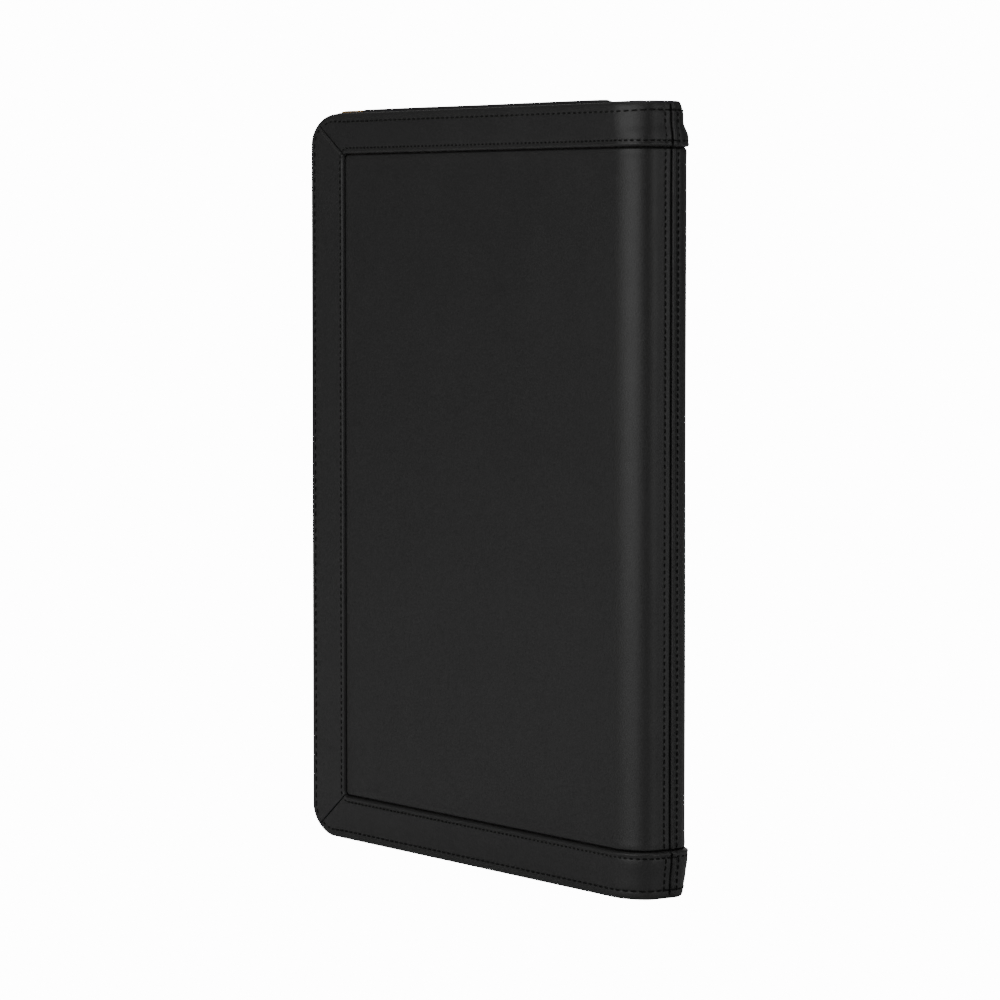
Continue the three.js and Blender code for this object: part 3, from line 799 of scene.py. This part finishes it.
def strip_grid(side, part, columns):
    """Points and depths of a strip, and which of its lines are sewn."""
    outer, inward, inner = (points[:, None] for points in columns)
    rise = PROUD + SPINE_RISE * turned(outer[..., :1]) * (part == "top")
    outer = outer - rise * inward
    outer[..., 1] = np.maximum(outer[..., 1], 0)
    base = outer + inward * FROM_EDGE[0]
    size = np.linalg.norm(inner - base, axis=-1)
    total = size + FROM_EDGE[0]
    share = np.linspace(0, 1, MIDDLE_STEPS + 2)[1:-1]
    middle = FROM_EDGE[-1] + share * (total - FROM_WINDOW[0] - FROM_EDGE[-1])
    a = np.hstack([total * 0 + FROM_EDGE, middle, total - FROM_WINDOW])
    face = base + ((inner - base) / size[..., None]) * (a - FROM_EDGE[0])[..., None]
    runs = (lengths_along(line[:, 0])[:, None] for line in (outer, inner))
    depth = strip_depth(side, part, face[..., 0], face[..., 1], a, total - a, *runs)
    depth = np.minimum(depth, SKIN_DEPTH - STRIP_THINNEST)
    shallower = 1 - SPINE_THINNER * turned(outer[..., 0])
    turned_in = []
    for section in (WRAP_SECTION, UNDERSIDE):
        from_edge, deep = np.array(section).T
        place = outer + inward * from_edge[:, None]
        turned_in.append((place, deep * shallower, total * 0 + from_edge))
    strip = zip(turned_in[0], (face, depth, a), turned_in[1])
    points, depth, a = (np.concatenate(parts, 1) for parts in strip)
    depth = depth + flare(side, part, points[..., 0], a)
    rows = (len(WRAP_SECTION) + FROM_EDGE.index(ROW_OUTER),
            len(WRAP_SECTION) + len(FROM_EDGE) + MIDDLE_STEPS + FROM_WINDOW.index(ROW_INNER))
    return points, depth, rows


OTHER_HIDE = 400.0  # the side strip is cut from another part of the leatherette


def strips(side, word):
    sewn = {"bands": [], "side": []}
    for part, columns in strip_columns(side).items():
        points, depth, rows = strip_grid(side, part, columns)
        s, z = points[..., 0], points[..., 1]
        rings = wrapped(side, s, z, depth)
        grain = vectors(s, depth, z)
        body, key, replaced = side, "bands", [f"{word}_border_{part}"]
        if part == "side":
            body, key = f"{word}_cover", part
            grain = grain + (OTHER_HIDE, 0, 0)
        else:
            replaced.append(f"spine_band_{part}_{word}")
        obj = tube(f"{word}_border_{part}_strip", rings, grain)
        finish_piece(obj, LEATHER_BAND, "leatherette", body, *replaced)
        for row, pitch in zip(rows, (PITCH_OUTER, PITCH_INNER)):
            line = (side, s[:, row], z[:, row], depth[:, row])
            sewn[key].append(stitch_row(*line, pitch, 0.6))
    for key, body in (("bands", side), ("side", f"{word}_cover")):
        stitches(f"{word}_{key}_stitches", sewn[key], "leatherette", body)


def seam_stitches(side, word):
    """The upright row beside the seam, over the panel and over both end strips."""
    s = SEAM[side] - SEAM_ROW[side]
    z = spread(FOOT + 0.8, HEAD - 0.8, PITCH_INNER / 4)
    rows = [stitch_row(side, s, z, panel_depth(side, s, z), PITCH_INNER)]
    for part, band in BANDS.items():
        a = spread(3.0, band - 0.9, 0.8)
        z = a if part == "bottom" else HEIGHT - a
        depth = strip_depth(side, part, s, z, a, band - a, *BETWEEN_HOLES)
        rows.append(stitch_row(side, s, z, depth + flare(side, part, s, a), PITCH_INNER))
    stitches(f"{word}_seam_stitches", rows, "leatherette", side)


for side, word in SIDES:
    panel(side, word)
    strips(side, word)
    seam_stitches(side, word)

# ---- Inner faces ----
LINING_INSET = 1.9
LINING_COVER = 4.4  # depth of the cloth's hidden face on the covers
LINING_SPINE = 3.6  # and on the spine
LINING_THICK = 0.8
LINING_GAP = 0.1  # each half ends this far from the middle of the spine
LINING_STEP = 6
LINING_FOLD_STEP = 1.2
# Rows and columns lie close together at the lining's edge, where it is sewn.
LINING_S = (0, 0.15, 0.5, 1.1, 1.9, 2.5, 3.1, 4.2, 6, 8.5, 11.5, 15, 19)
LINING_SHARE = (0, 0.001, 0.003, 0.006, 0.0075, 0.009, 0.013)
LINING_SHARE_END = (0.987, 0.991, 0.9925, 0.994, 0.997, 0.999, 1)


def lining_rows(s, share):
    """Z of a lining's rows, which follow the rounded free corners."""
    rx = CORNER_RX - LINING_INSET
    rz = CORNER_RZ - LINING_INSET
    left = np.clip((CORNER_RX - s) / rx, 0, 1)
    low = LINING_INSET + rz * (1 - np.sqrt(1 - left**2))
    return low + share * (HEIGHT - 2 * low)


def lining(side, word):
    near = LINING_INSET + np.array(LINING_S)
    flat = spread(24, FOLD_S - 3, LINING_STEP)
    fold = spread(FOLD_S, along(side, side * LINING_GAP), LINING_FOLD_STEP)
    s = np.concatenate([near, flat, fold])
    share = np.concatenate([LINING_SHARE, spread(0.02, 0.98, 0.02), LINING_SHARE_END])
    ss, vv = np.meshgrid(s, share)
    zz = lining_rows(ss, vv)
    outer_depth = LINING_COVER + (LINING_SPINE - LINING_COVER) * turned(ss)
    inner_depth = outer_depth + LINING_THICK
    edge = np.minimum(np.minimum(vv, 1 - vv) * HEIGHT, ss - LINING_INSET)
    sewn = 0.3 * bell(edge - 2.5, 0.6) + 0.45 * bell(edge, 0.6)
    waves = 0.12 * np.sin(ss / 19 + side) * np.sin(zz / 27) * ease(edge / 12)
    inner = wrapped(side, ss, zz, inner_depth - sewn + waves)
    outer = wrapped(side, ss, zz, outer_depth)
    obj = shell(f"{word}_lining_cloth", inner, outer, vectors(ss, inner_depth, zz))
    spine = ["spine_lining"] if side < 0 else []
    finish_piece(obj, LINING, "lining", side, f"{word}_lining", *spine)


for side, word in SIDES:
    lining(side, word)

for node in ("front_board", "rear_board", "spine_board"):
    painted(nodes[node], CARD)


# ---- Zip: tapes and teeth along a path in X and Z ----
EDGE_WALL = 1.6
TAPE_END = 115
ZIP_SUNK = sum(corner[2] for corner in box_mm("front_zip_stop_bottom")) / 2
ZIP_RISE = 0.9  # the zip stands above the case at the top free corner
ZIP_FLOOR = 2.2  # and stays off the ground at the lower one
ZIP_EAR = 3.0  # it comes out past the free edge at both
EAR_R = 10.5
EAR_END = 40
CHAIN_Z = HEIGHT - ZIP_SUNK
CHAIN_END = box_mm("front_zip_stop_top")[0][0] - FIT
CHAIN_FOOT = TAPE_END - 4
SUNK_FROM = FREE_X + 36
RISEN_AT = FREE_X + 23
TAPE_CROWN = 3.7
FLOOR_CROWN = 1.3
TAPE_HALF = 0.4


def straight(a, b, t):
    return a + (b - a) * t


def step_over(a, b, t):
    """A gentle step from one line to a parallel one."""
    mid = (a + b) / 2
    if abs(b[0] - a[0]) > abs(b[1] - a[1]):
        handle_a, handle_b = np.array([mid[0], a[1]]), np.array([mid[0], b[1]])
    else:
        handle_a, handle_b = np.array([a[0], mid[1]]), np.array([b[0], mid[1]])
    r = 1 - t
    return r**3 * a + 3 * r * r * t * handle_a + 3 * r * t * t * handle_b + t**3 * b


def quarter(a, b, t):
    """A quarter of an ellipse round a free corner of the case."""
    centre = np.array([max(a[0], b[0]), min(a[1], b[1], key=lambda z: abs(z - HEIGHT / 2))])
    angle = QUARTER * t
    return centre + (a - centre) * np.cos(angle) + (b - centre) * np.sin(angle)


def both_ends(top, bottom):
    """Way points along the top, round the free edge and back along the bottom, from X and
    the distance to the nearer end of the case."""
    return np.array([(x, HEIGHT - down) for x, down in top] + bottom[::-1], float)


def edge_path():
    inset = (EDGE_WALL + 0.2) / 2
    left = FREE_X + inset
    turn = FREE_X + CORNER_RX
    level = [(x, inset) for x in (TAPE_END, SUNK_FROM, turn + 4, turn)]
    half = level + [(left, CORNER_RZ), (left, inset + EAR_END)]
    return both_ends(half, half), (straight, straight, straight, quarter, straight, straight)


def chain_path():
    left = FREE_X - ZIP_EAR
    halves = []
    for crest in (-ZIP_RISE, ZIP_FLOOR):
        sunk = [(TAPE_END, ZIP_SUNK), (SUNK_FROM, ZIP_SUNK)]
        ear = [(RISEN_AT, crest), (left + EAR_R, crest), (left, crest + EAR_R)]
        halves.append([*sunk, *ear, (FREE_X + ZIP_SUNK, EAR_END)])
    return both_ends(*halves), (straight, step_over, straight, quarter, step_over, straight)


# Stretches of a path as far as the middle of the free edge, and the share of the tape's crown at
# their ends. The lower half repeats them backwards.
STEPS = (60, 12, 5, 18, 12, 60)
CROWNS = (1, 1, 0.15, 0, 0, 1)
# Points of the tape from the teeth to the edge: distance off the middle plane, share of the way
# from the chain to the edge, and share of the crown.
TAPE_SECTION = ((2.7, 0, 0), (3.1, 0, 0), (5.3, 0.02, 0), (6.4, 0.25, 0.55), (7.6, 0.45, 0.92),
                (8.8, 0.62, 1), (10.2, 0.82, 0.8), (11.8, 1, 0), (12.7, 1, 0))


def there_and_back(half):
    """The lower half of the path repeats the upper one, backwards."""
    return (*half, *half[-2::-1])


def stations(way_points, curves):
    """Points along a path, the outward direction and the tape's crown there."""
    points, outs, crowns = [], [], []
    curves = there_and_back(curves)
    shares = (*CROWNS, *CROWNS[::-1])
    for i, (curve, steps) in enumerate(zip(curves, there_and_back(STEPS))):
        t = np.linspace(0, 1, steps + 1)[min(i, 1) :, None]
        ends = way_points[i : i + 2]
        tangent = unit(curve(*ends, t + 1e-3) - curve(*ends, t - 1e-3))
        belly = FLOOR_CROWN if i > len(curves) / 2 + 1 else TAPE_CROWN
        points.append(curve(*ends, t))
        outs.append(tangent[:, ::-1] * (1, -1))
        crowns.append(straight(shares[i], shares[i + 1], t[:, 0]) * belly)
    return np.concatenate(points), np.concatenate(outs), np.concatenate(crowns)


def smooth_section(section, between=3):
    """The section with points added on a smooth curve through it."""
    section = np.array(section, float)
    before, after = 2 * section[0] - section[1], 2 * section[-1] - section[-2]
    padded = np.concatenate([[before], section, [after]])
    out = []
    for a, b, c, d in zip(padded, padded[1:], padded[2:], padded[3:]):
        square, cube = 2 * a - 5 * b + 4 * c - d, 3 * (b - c) + d - a
        for t in np.arange(between) / between:
            out.append(b + 0.5 * t * (c - a + t * (square + t * cube)))
    return np.array([*out, section[-1]])


def zip_tape(side, word):
    chain, out, crown = stations(*chain_path())
    edge, _, _ = stations(*edge_path())
    run = lengths_along(chain)
    section = smooth_section(TAPE_SECTION)
    uneven = 1 + 0.012 * np.sin(run / 19 + side)
    crown = crown * uneven * ease((TAPE_END - chain[:, 0]) / 15)
    half = TAPE_HALF * (1 + 0.35 * bell(section[:, 0] - 3.0, 0.5))
    face, back, flat = [], [], []
    for (y, share, lift), thick in zip(section, half):
        p = chain + (edge - chain) * share + out * (lift * crown)[:, None]
        for rows, offset in ((face, thick), (back, -thick)):
            q = p + out * offset
            rows.append(vectors(q[:, 0], side * y, q[:, 1]))
        flat.append(vectors(run, y, y))
    rings = np.stack(face + back[::-1], 1)
    place = np.stack(flat + flat[::-1], 1)
    obj = tube(f"{word}_zip_tape_woven", rings, place)
    finish_piece(obj, TAPE, "zip_tape", f"{word}_cover", f"{word}_zip_tape")


TOOTH_PITCH = 2.3
TOOTH_END = 0.6  # bare chain at each end
TOOTH_SIDES = 8
TOOTH_SQUARE = 1.08  # an eight-sided ring is this much larger, to be as wide across its flats
# Each ring of a tooth: place off the middle plane, half length along the chain, half height.
TOOTH_RINGS = ((2.95, 0.42, 1.05), (2.8, 0.58, 1.25), (1.75, 0.6, 1.3), (1.5, 0.42, 1.05),
               (0.8, 0.36, 0.8), (0.6, 0.5, 0.86), (-0.35, 0.5, 0.86), (-0.7, 0.3, 0.6))


def zip_teeth(side, word):
    chain, out, _ = stations(*chain_path())
    upper = chain[:, 1] > HEIGHT / 2
    keep = chain[:, 0] < np.where(upper, CHAIN_END, CHAIN_FOOT)
    chain, out = chain[keep], out[keep]
    run = lengths_along(chain)
    first = TOOTH_END + (TOOTH_PITCH / 2 if side > 0 else 0)
    at = np.arange(first, run[-1] - TOOTH_END, TOOTH_PITCH)
    centres = np.insert(read_off(at, run, chain), 1, 0, axis=1)
    w = np.insert(unit(read_off(at, run, out)), 1, 0, axis=1)
    v = np.tile([0.0, side, 0.0], (len(at), 1))
    template = []
    for y, half_u, half_w in TOOTH_RINGS:
        for u, w_part in arc(0, 0, TOOTH_SQUARE, full_turn(TOOTH_SIDES, 0.5)):
            template.append((half_u * u, y, half_w * w_part))
    faces = ring_faces(len(TOOTH_RINGS), TOOTH_SIDES)
    teeth = copies(f"{word}_zip_teeth_brass", template, faces, centres, np.cross(v, w), v, w)
    obj = flat_faced(teeth)
    finish_piece(obj, BRASS, "zip_metal", f"{word}_cover", f"{word}_zip_teeth")


def zip_stop(word, end):
    node = f"{word}_zip_stop_{end}"
    lo, hi = box_mm(node)
    place = shift(*(lo + hi) / 2)
    x, y, z = (hi - lo) / 2
    body = plate("stop_body", [rounded(-x, x, -y, y, 0.45)], 2 * z, 0.3, place)
    crimp = rounded(-x + 0.35, x - 0.35, -y - 0.05, y + 0.05, 0.2)
    ridge = plate("stop_ridge", [crimp], 1.1 * z, 0.15, place)
    obj = merged(f"{node}_brass", [body, ridge])
    finish_piece(obj, BRASS, "zip_metal", f"{word}_cover", node)


for side, word in SIDES:
    zip_tape(side, word)
    zip_teeth(side, word)
    zip_stop(word, "top")
    zip_stop(word, "bottom")

# ---- Slider and pull ----
SLIDER_CHANNEL = 1.6  # half the height between its plates
SLIDER_PLATE = 1.2
SLIDER_SLOT = 0.75  # half the gap that the tapes leave by
SLIDER_INNER = 3.3
BRIDGE_BACK = 0.5
BRIDGE_WIDTH = 1.6
PULL_THICK = 1.0
PULL_LENGTH = 30
PULL_HALF = 3.5
NECK_HALF = 2.4
PIN_IN = 0.45
PIN_RINGS = ((2.4, 0.25), (2.25, 0.42), (1.2, 0.45))  # place off the middle plane, radius
PIN_SIDES = 14


def mirrored(points):
    """An outline from one half of it, the other side of the X axis."""
    return points + [(x, -y) for x, y in points[::-1]]


def moved(points, x, y):
    return [(x + px, y + py) for px, py in points]


def slider_half(up, middle, half_l, half_w):
    """One plate of the slider, with its two rails and its half of the wedge."""
    outline = [(-half_l, 1.2 - half_w), (1.2 - half_l, 0.3 - half_w), (3 - half_l, -half_w),
               (half_l - 3, -half_w), (half_l - 1, 0.7 - half_w), (half_l, 1.8 - half_w)]

    def layer(name, outline, height, thick, bevel):
        return plate(name, [outline], thick, bevel, shift(middle, 0, CHAIN_Z + up * height))

    height = SLIDER_CHANNEL + SLIDER_PLATE / 2
    parts = [layer("leaf", mirrored(outline), height, SLIDER_PLATE, 0.35)]
    lip = (SLIDER_CHANNEL - SLIDER_SLOT) / 2
    for y0, y1 in ((-half_w, -SLIDER_INNER), (SLIDER_INNER, half_w)):
        rail = rounded(2.2 - half_l, half_l - 2.6, y0, y1, 0.4)
        parts.append(layer("rail", rail, SLIDER_SLOT + lip, 2 * lip + 0.3, 0.15))
    wedge = [(half_l - 3.4, 0), (half_l - 1.8, -0.7), (half_l - 0.4, 0), (half_l - 1.8, 0.7)]
    parts.append(layer("wedge", wedge, SLIDER_CHANNEL - 0.25, 0.6, 0.05))
    return parts


def slider():
    lo, hi = box_mm("zip_slider")
    middle = (lo[0] + hi[0]) / 2
    parts = [part for up in (-1, 1) for part in slider_half(up, middle, hi[0] - middle, hi[1])]
    crown = [(-3.2, 0), (-2.9, 1.6), (-2.3, 2.2), (-1.4, 2.5), (0.9, 2.5), (1.8, 2.1), (2.5, 1.3),
             (2.9, 0)]
    arch = [(-1.6, 0.2), (1.2, 0.2), (1.2, 1.35), (0.9, 1.65), (-1.3, 1.65), (-1.6, 1.35)]
    foot = CHAIN_Z + SLIDER_CHANNEL + SLIDER_PLATE - 0.3
    outlines = [moved(outline[::-1], middle - BRIDGE_BACK, foot) for outline in (crown, arch)]
    parts.append(plate("bridge", outlines, BRIDGE_WIDTH, 0.2, UPRIGHT))
    obj = merged("zip_slider_brass", parts)
    finish_piece(obj, BRASS_CAST, "zip_metal", "zip_slider", "zip_slider")


def pull():
    lo, hi = box_mm("zip_pull")
    pin_x = hi[0] - PIN_IN
    z = (lo[2] + hi[2]) / 2
    tip = pin_x - PULL_LENGTH
    neck = [(0, -NECK_HALF), (-6, -NECK_HALF), (-7.4, -NECK_HALF - 0.3), (-9, -PULL_HALF)]
    end = arc(tip + 2, 2 - PULL_HALF, 2, np.linspace(3, 2, 7) * QUARTER)
    outline = mirrored(moved(neck, pin_x, 0) + end)
    window = rounded(pin_x - 4.6, pin_x - 0.4, -1.2, 1.2, 0.6)
    hole = arc(tip + 4, 0, 1.2, full_turn(24))
    tab = plate("tab", [outline, window, hole], PULL_THICK, 0.28, shift(0, 0, z))
    rim = rounded(tip + 7, pin_x - 8.5, -2.3, 2.3, 1.0)
    inlay = rounded(tip + 7.7, pin_x - 9.2, -1.6, 1.6, 0.6)
    ridge = plate("ridge", [rim, inlay], PULL_THICK + 0.3, 0.12, shift(0, 0, z))
    rings = []
    for y, r in both_halves(PIN_RINGS):
        rings.append([(x, y, high) for x, high in arc(pin_x, z, r, full_turn(PIN_SIDES))])
    rings = np.array(rings)
    obj = merged("zip_pull_brass", [tab, ridge, tube("pin", rings, rings)])
    finish_piece(obj, BRASS_CAST, "zip_metal", "zip_pull", "zip_pull")


slider()
pull()

# ---- Pockets ----
# Rows of a pocket's edge: the turned hem, the stitches, then the rise of the cloth.
POCKET_EDGE = (0, 0.25, 0.7, 1.2, 1.5, 1.8, 2.3)
POCKET_RISE = (0.25, 0.5, 0.75, 1, 1.4, 2.2)
POCKET_HEAD = (0, 0.2, 0.6, 1.0, 1.4, 1.7, 2.4)
POCKET_HEM = (-2.4, -1.4, -1, -0.5, -0.1, 0.3)
POCKET_COLUMNS = 40
POCKET_ROWS = 34
NOTCH_COLUMNS = 25
SEWN_IN = 1.5  # the stitches' distance from the edge
SEWN_FLAT = 0.75


def close_at_ends(size, first, last, count):
    """Places across a sheet: close together at both ends, and evenly between them."""
    between = np.linspace(first[-1], size - last[-1], count)[1:-1]
    return np.concatenate([first, between, size - last[::-1]])


def sewn_sheet(node, body, side, rim, hem=8.0, notch=0, thick=0.8, bulge=0.4):
    """A fabric pocket sewn down at its sides and foot and open at its hemmed top."""
    (x0, y0, z0), (x1, y1, z1) = box_mm(node)
    near, far = sorted(HALF_T - abs(y) for y in (y0, y1))
    width, height = x1 - x0, z1 - z0
    edge = np.concatenate([POCKET_EDGE, POCKET_EDGE[-1] + rim * np.array(POCKET_RISE)])
    head = np.concatenate([POCKET_HEAD, hem + np.array(POCKET_HEM)])
    s = x0 + close_at_ends(width, edge, edge, POCKET_COLUMNS)
    if notch:
        across = notch * np.sin(np.linspace(-1.55, 1.55, NOTCH_COLUMNS))
        s = np.unique(np.concatenate([s, x0 + width / 2 + across]))
    ss, tt = np.meshgrid(s, close_at_ends(height, edge, head, POCKET_ROWS))
    zz = z0 + tt
    if notch:
        inner = np.clip(1 - ((ss - (x0 + x1) / 2) / notch) ** 2, 0, 1)
        zz = zz - (notch - 2) * np.sqrt(inner) * ease((tt - height / 2) / (height / 2))
    from_top = height - tt
    sewn = np.minimum(np.minimum(ss - x0, x1 - ss), tt)
    lift = ease((sewn - 2.0) / (rim + 0.01))
    wide = np.sin(math.pi * (ss - x0) / width)
    full = wide * np.sin(math.pi * np.clip(tt / height, 0, 1) * 0.75)
    raised = near + SEWN_FLAT + (far - near - SEWN_FLAT - bulge * (1 - full)) * lift
    band = ease((hem + 0.15 - from_top) / 0.4) * ease(from_top / 0.5)
    channels = bell(from_top - hem + 1.0, 0.35) + bell(from_top - 1.2, 0.35)
    channels = 0.2 * channels + 0.25 * bell(sewn - SEWN_IN, 0.4) * (from_top > 1)
    waves = np.sin(ss / 11 + z0) * np.sin(tt / 17) * lift
    depth = np.minimum(raised + 0.3 * band - channels + 0.12 * waves, far)
    sheet_back = np.maximum(depth - thick - 0.25 * band, near - 0.1)
    face, back = (vectors(ss, side * (HALF_T - d), zz) for d in (depth, sheet_back))
    obj = shell(f"{node}_cloth", face, back, vectors(ss, depth, zz))
    finish_piece(obj, POCKET, "lining", body, node)
    column = POCKET_EDGE.index(SEWN_IN)
    lines = [np.s_[:, column], np.s_[:, len(s) - 1 - column], column, -4, 3 - len(head)]
    sewn_rows = [
        stitch_row(side, ss[line] - FREE_X, zz[line], depth[line], PITCH_INNER, 0.5, -1)
        for line in lines
    ]
    stitches(f"{node}_stitches", sewn_rows, "lining", body)


sewn_sheet("document_pocket", "rear_cover", 1, rim=5, notch=14, thick=0.9)
for k in (1, 2, 3):
    sewn_sheet(f"card_pocket_{k}", "rear_cover", 1, rim=1.2, hem=6, thick=0.5, bulge=0.05)
sewn_sheet("accessory_pocket", "rear_cover", 1, rim=3, bulge=0.3)
sewn_sheet("pad_holder", "front_cover", -1, rim=0.6, thick=0.7, bulge=0.0)


# ---- Writing pad ----
SHEETS = 30
PAGE_SHARE = 0.93  # the rest of a sheet's room is air
SLIP = 0.35  # the sheets lie this unevenly
CURL = 0.7  # the top sheets lift this much at the lower corner
CURL_X = 60
CURL_Z = 70
BINDING_R = 0.7
BINDING_WALL = 0.55
BINDING_TOP = 0.6


def pad_backing():
    lo, hi = box_mm("pad_backing")
    card = rounded(lo[0], hi[0], lo[2], hi[2], 1.2)
    place = shift(0, (lo[1] + hi[1]) / 2, 0) @ UPRIGHT
    back = plate("pad_backing_card", [card], hi[1] - lo[1], 0.15, place)
    finish_piece(back, CARD, "board", "front_cover", "pad_backing")


def pad_pages():
    lo, hi = box_mm("pad_pages")
    thick = (hi[1] - lo[1]) / SHEETS
    pages = []
    for k in range(SHEETS):
        slip = [random.uniform(0, SLIP) for _ in range(3)]
        x = np.linspace(lo[0] + slip[0], hi[0] - slip[1], 12)
        z = np.linspace(lo[2] + slip[2], hi[2] - 0.05, 16)
        xx, zz = np.meshgrid(x, z)
        corner = ease((xx - hi[0]) / CURL_X + 1) * ease((lo[2] - zz) / CURL_Z + 1)
        y = lo[1] + k * thick + CURL * corner * (k / SHEETS) ** 3
        front, rear = vectors(xx, y + thick * PAGE_SHARE, zz), vectors(xx, y, zz)
        pages.append(shell(f"page_{k}", front, rear, vectors(hi[0] - xx, y, zz)))
    top = pages.pop()
    top.name = "pad_top_page"
    finish_piece(top, PAPER_TOP, "paper", "front_cover")
    finish_piece(merged("pad_pages_stack", pages), PAPER, "paper", "front_cover", "pad_pages")


def pad_binding():
    (x0, y0, z0), (x1, y1, z1) = box_mm("pad_binding")
    r = BINDING_R
    low = z1 - BINDING_TOP
    fold = arc(y1 - r, z1 - r, r, np.linspace(1, 0, 6) * QUARTER)
    inside = y1 - BINDING_WALL
    section = [(y0, low), (y0, z1), *fold, (y1, z0 + 0.4), (y1 - 0.15, z0), (inside, z0), (inside, low)]
    rings = np.array([[(x, y, z) for y, z in section] for x in spread(x0 + 0.1, x1 - 0.1, 4)])
    obj = tube("pad_binding_tape", rings, rings)
    finish_piece(obj, CLOTH_BINDING, "binding", "front_cover", "pad_binding")


# ---- Pen loop ----
LOOP_R = 7.0
LOOP_WALL = 0.8
LOOP_SIDES = 48
LOOP_SEWN = 8  # the foot is sewn down this far from its middle
FOOT_IN = 1.0
FOOT_PITCH = 2.4


def ribs(z):
    return np.cos(2 * math.pi * z / RIB_PITCH)


def pen_loop():
    (x0, base, z0), (x1, y1, z1) = box_mm("pen_loop")
    x, y = (x0 + x1) / 2, y1 - LOOP_R
    z = spread(z0, z1, RIB_PITCH / 2)
    turn, zz = np.meshgrid(full_turn(LOOP_SIDES), z)
    r = LOOP_R - 0.12 + 0.12 * ribs(zz)
    sleeves = []
    for radius in (r, r * (1 - LOOP_WALL / LOOP_R)):
        sleeves.append(vectors(x + radius * np.cos(turn), y + radius * np.sin(turn), zz))
    band = shell("sleeve", *sleeves, vectors(LOOP_R * turn, 0, zz), closed=True)
    xx, zz = np.meshgrid(np.linspace(x0, x1, 25), z)
    top = base + LOOP_WALL - 0.3 * bell(np.abs(xx - x) - LOOP_SEWN, 0.6) + 0.06 * ribs(zz)
    upper, lower = vectors(xx, top, zz), vectors(xx, base, zz)
    obj = merged("pen_loop_elastic", [band, shell("foot", upper, lower, upper)])
    finish_piece(obj, ELASTIC, "lining", "front_cover", "pen_loop")
    row_z = spread(z0 + 0.5, z1 - 0.5, 1.0)
    depth = base + 0.6 + HALF_T
    rows = [
        stitch_row(-1, at - FREE_X, row_z, depth, FOOT_PITCH, facing=-1)
        for at in (x0 + FOOT_IN, x1 - FOOT_IN)
    ]
    stitches("pen_loop_stitches", rows, "lining", "front_cover")


pad_backing()
pad_pages()
pad_binding()
pen_loop()

# ---- Room and light ----
# Strengths of the light all round, and of the plain white that the camera sees.
SURROUND = 0.125
BACKDROP = 14.0
FLOOR_HALF = 6
FLOOR_DROP = 0.0004
AIM_Z = 0.17
# Name, place, the X it is aimed at, width, height and power.
LAMPS = (
    ("front_softbox", (0.16, -1.9, 0.6), 0.05, 2.2, 1.8, 23),
    ("spine_softbox", (2.3, 0.7, 0.5), 0.1, 1.6, 1.6, 11.5),
    ("top_softbox", (0.1, 0.1, 2.2), 0, 1.5, 1.5, 12),
    ("rear_softbox", (-1.6, 1.6, 0.4), 0, 1.6, 1.6, 6),
)


def lamp(name, at, aim_x, width, height, power):
    data = bpy.data.lights.new(name, "AREA")
    data.energy = power
    data.shape = "RECTANGLE"
    data.size = width
    data.size_y = height
    obj = add(name, data)
    obj.location = at
    towards = Vector((aim_x, 0, AIM_Z)) - Vector(at)
    obj.rotation_euler = towards.to_track_quat("-Z", "Y").to_euler()


def white_where_seen(owner, soft, soft_inputs, white):
    """Lights the object softly, and shows the camera plain white."""
    owner.use_nodes = True
    tree = owner.node_tree
    soft = tree.nodes[soft]
    for key, value in soft_inputs.items():
        soft.inputs[key].default_value = value
    white = tree.nodes.new(white)
    white.inputs["Color"].default_value = rgba(1)
    white.inputs["Strength"].default_value = BACKDROP
    mix = tree.nodes.new("ShaderNodeMixShader")
    seen = tree.nodes.new("ShaderNodeLightPath").outputs["Is Camera Ray"]
    for socket, value in zip(mix.inputs, (seen, soft.outputs[0], white.outputs[0])):
        tree.links.new(value, socket)
    output = next(node for node in tree.nodes if node.type.startswith("OUTPUT"))
    tree.links.new(mix.outputs[0], output.inputs["Surface"])


def surround():
    world = bpy.data.worlds.new("studio")
    soft = {"Color": rgba(1), "Strength": SURROUND}
    white_where_seen(world, "Background", soft, "ShaderNodeBackground")
    bpy.context.scene.world = world


def floor():
    mesh = bpy.data.meshes.new("floor")
    corners = [(-1, -1), (1, -1), (1, 1), (-1, 1)]
    mesh.from_pydata([(x * FLOOR_HALF, y * FLOOR_HALF, 0) for x, y in corners], [], [range(4)])
    obj = add("floor", mesh)
    obj.location.z = -FLOOR_DROP
    material = bpy.data.materials.new("floor")
    paint = {"Base Color": rgba(0.8), "Roughness": 0.9}
    white_where_seen(material, "Principled BSDF", paint, "ShaderNodeEmission")
    mesh.materials.append(material)


surround()
floor()
for settings in LAMPS:
    lamp(*settings)
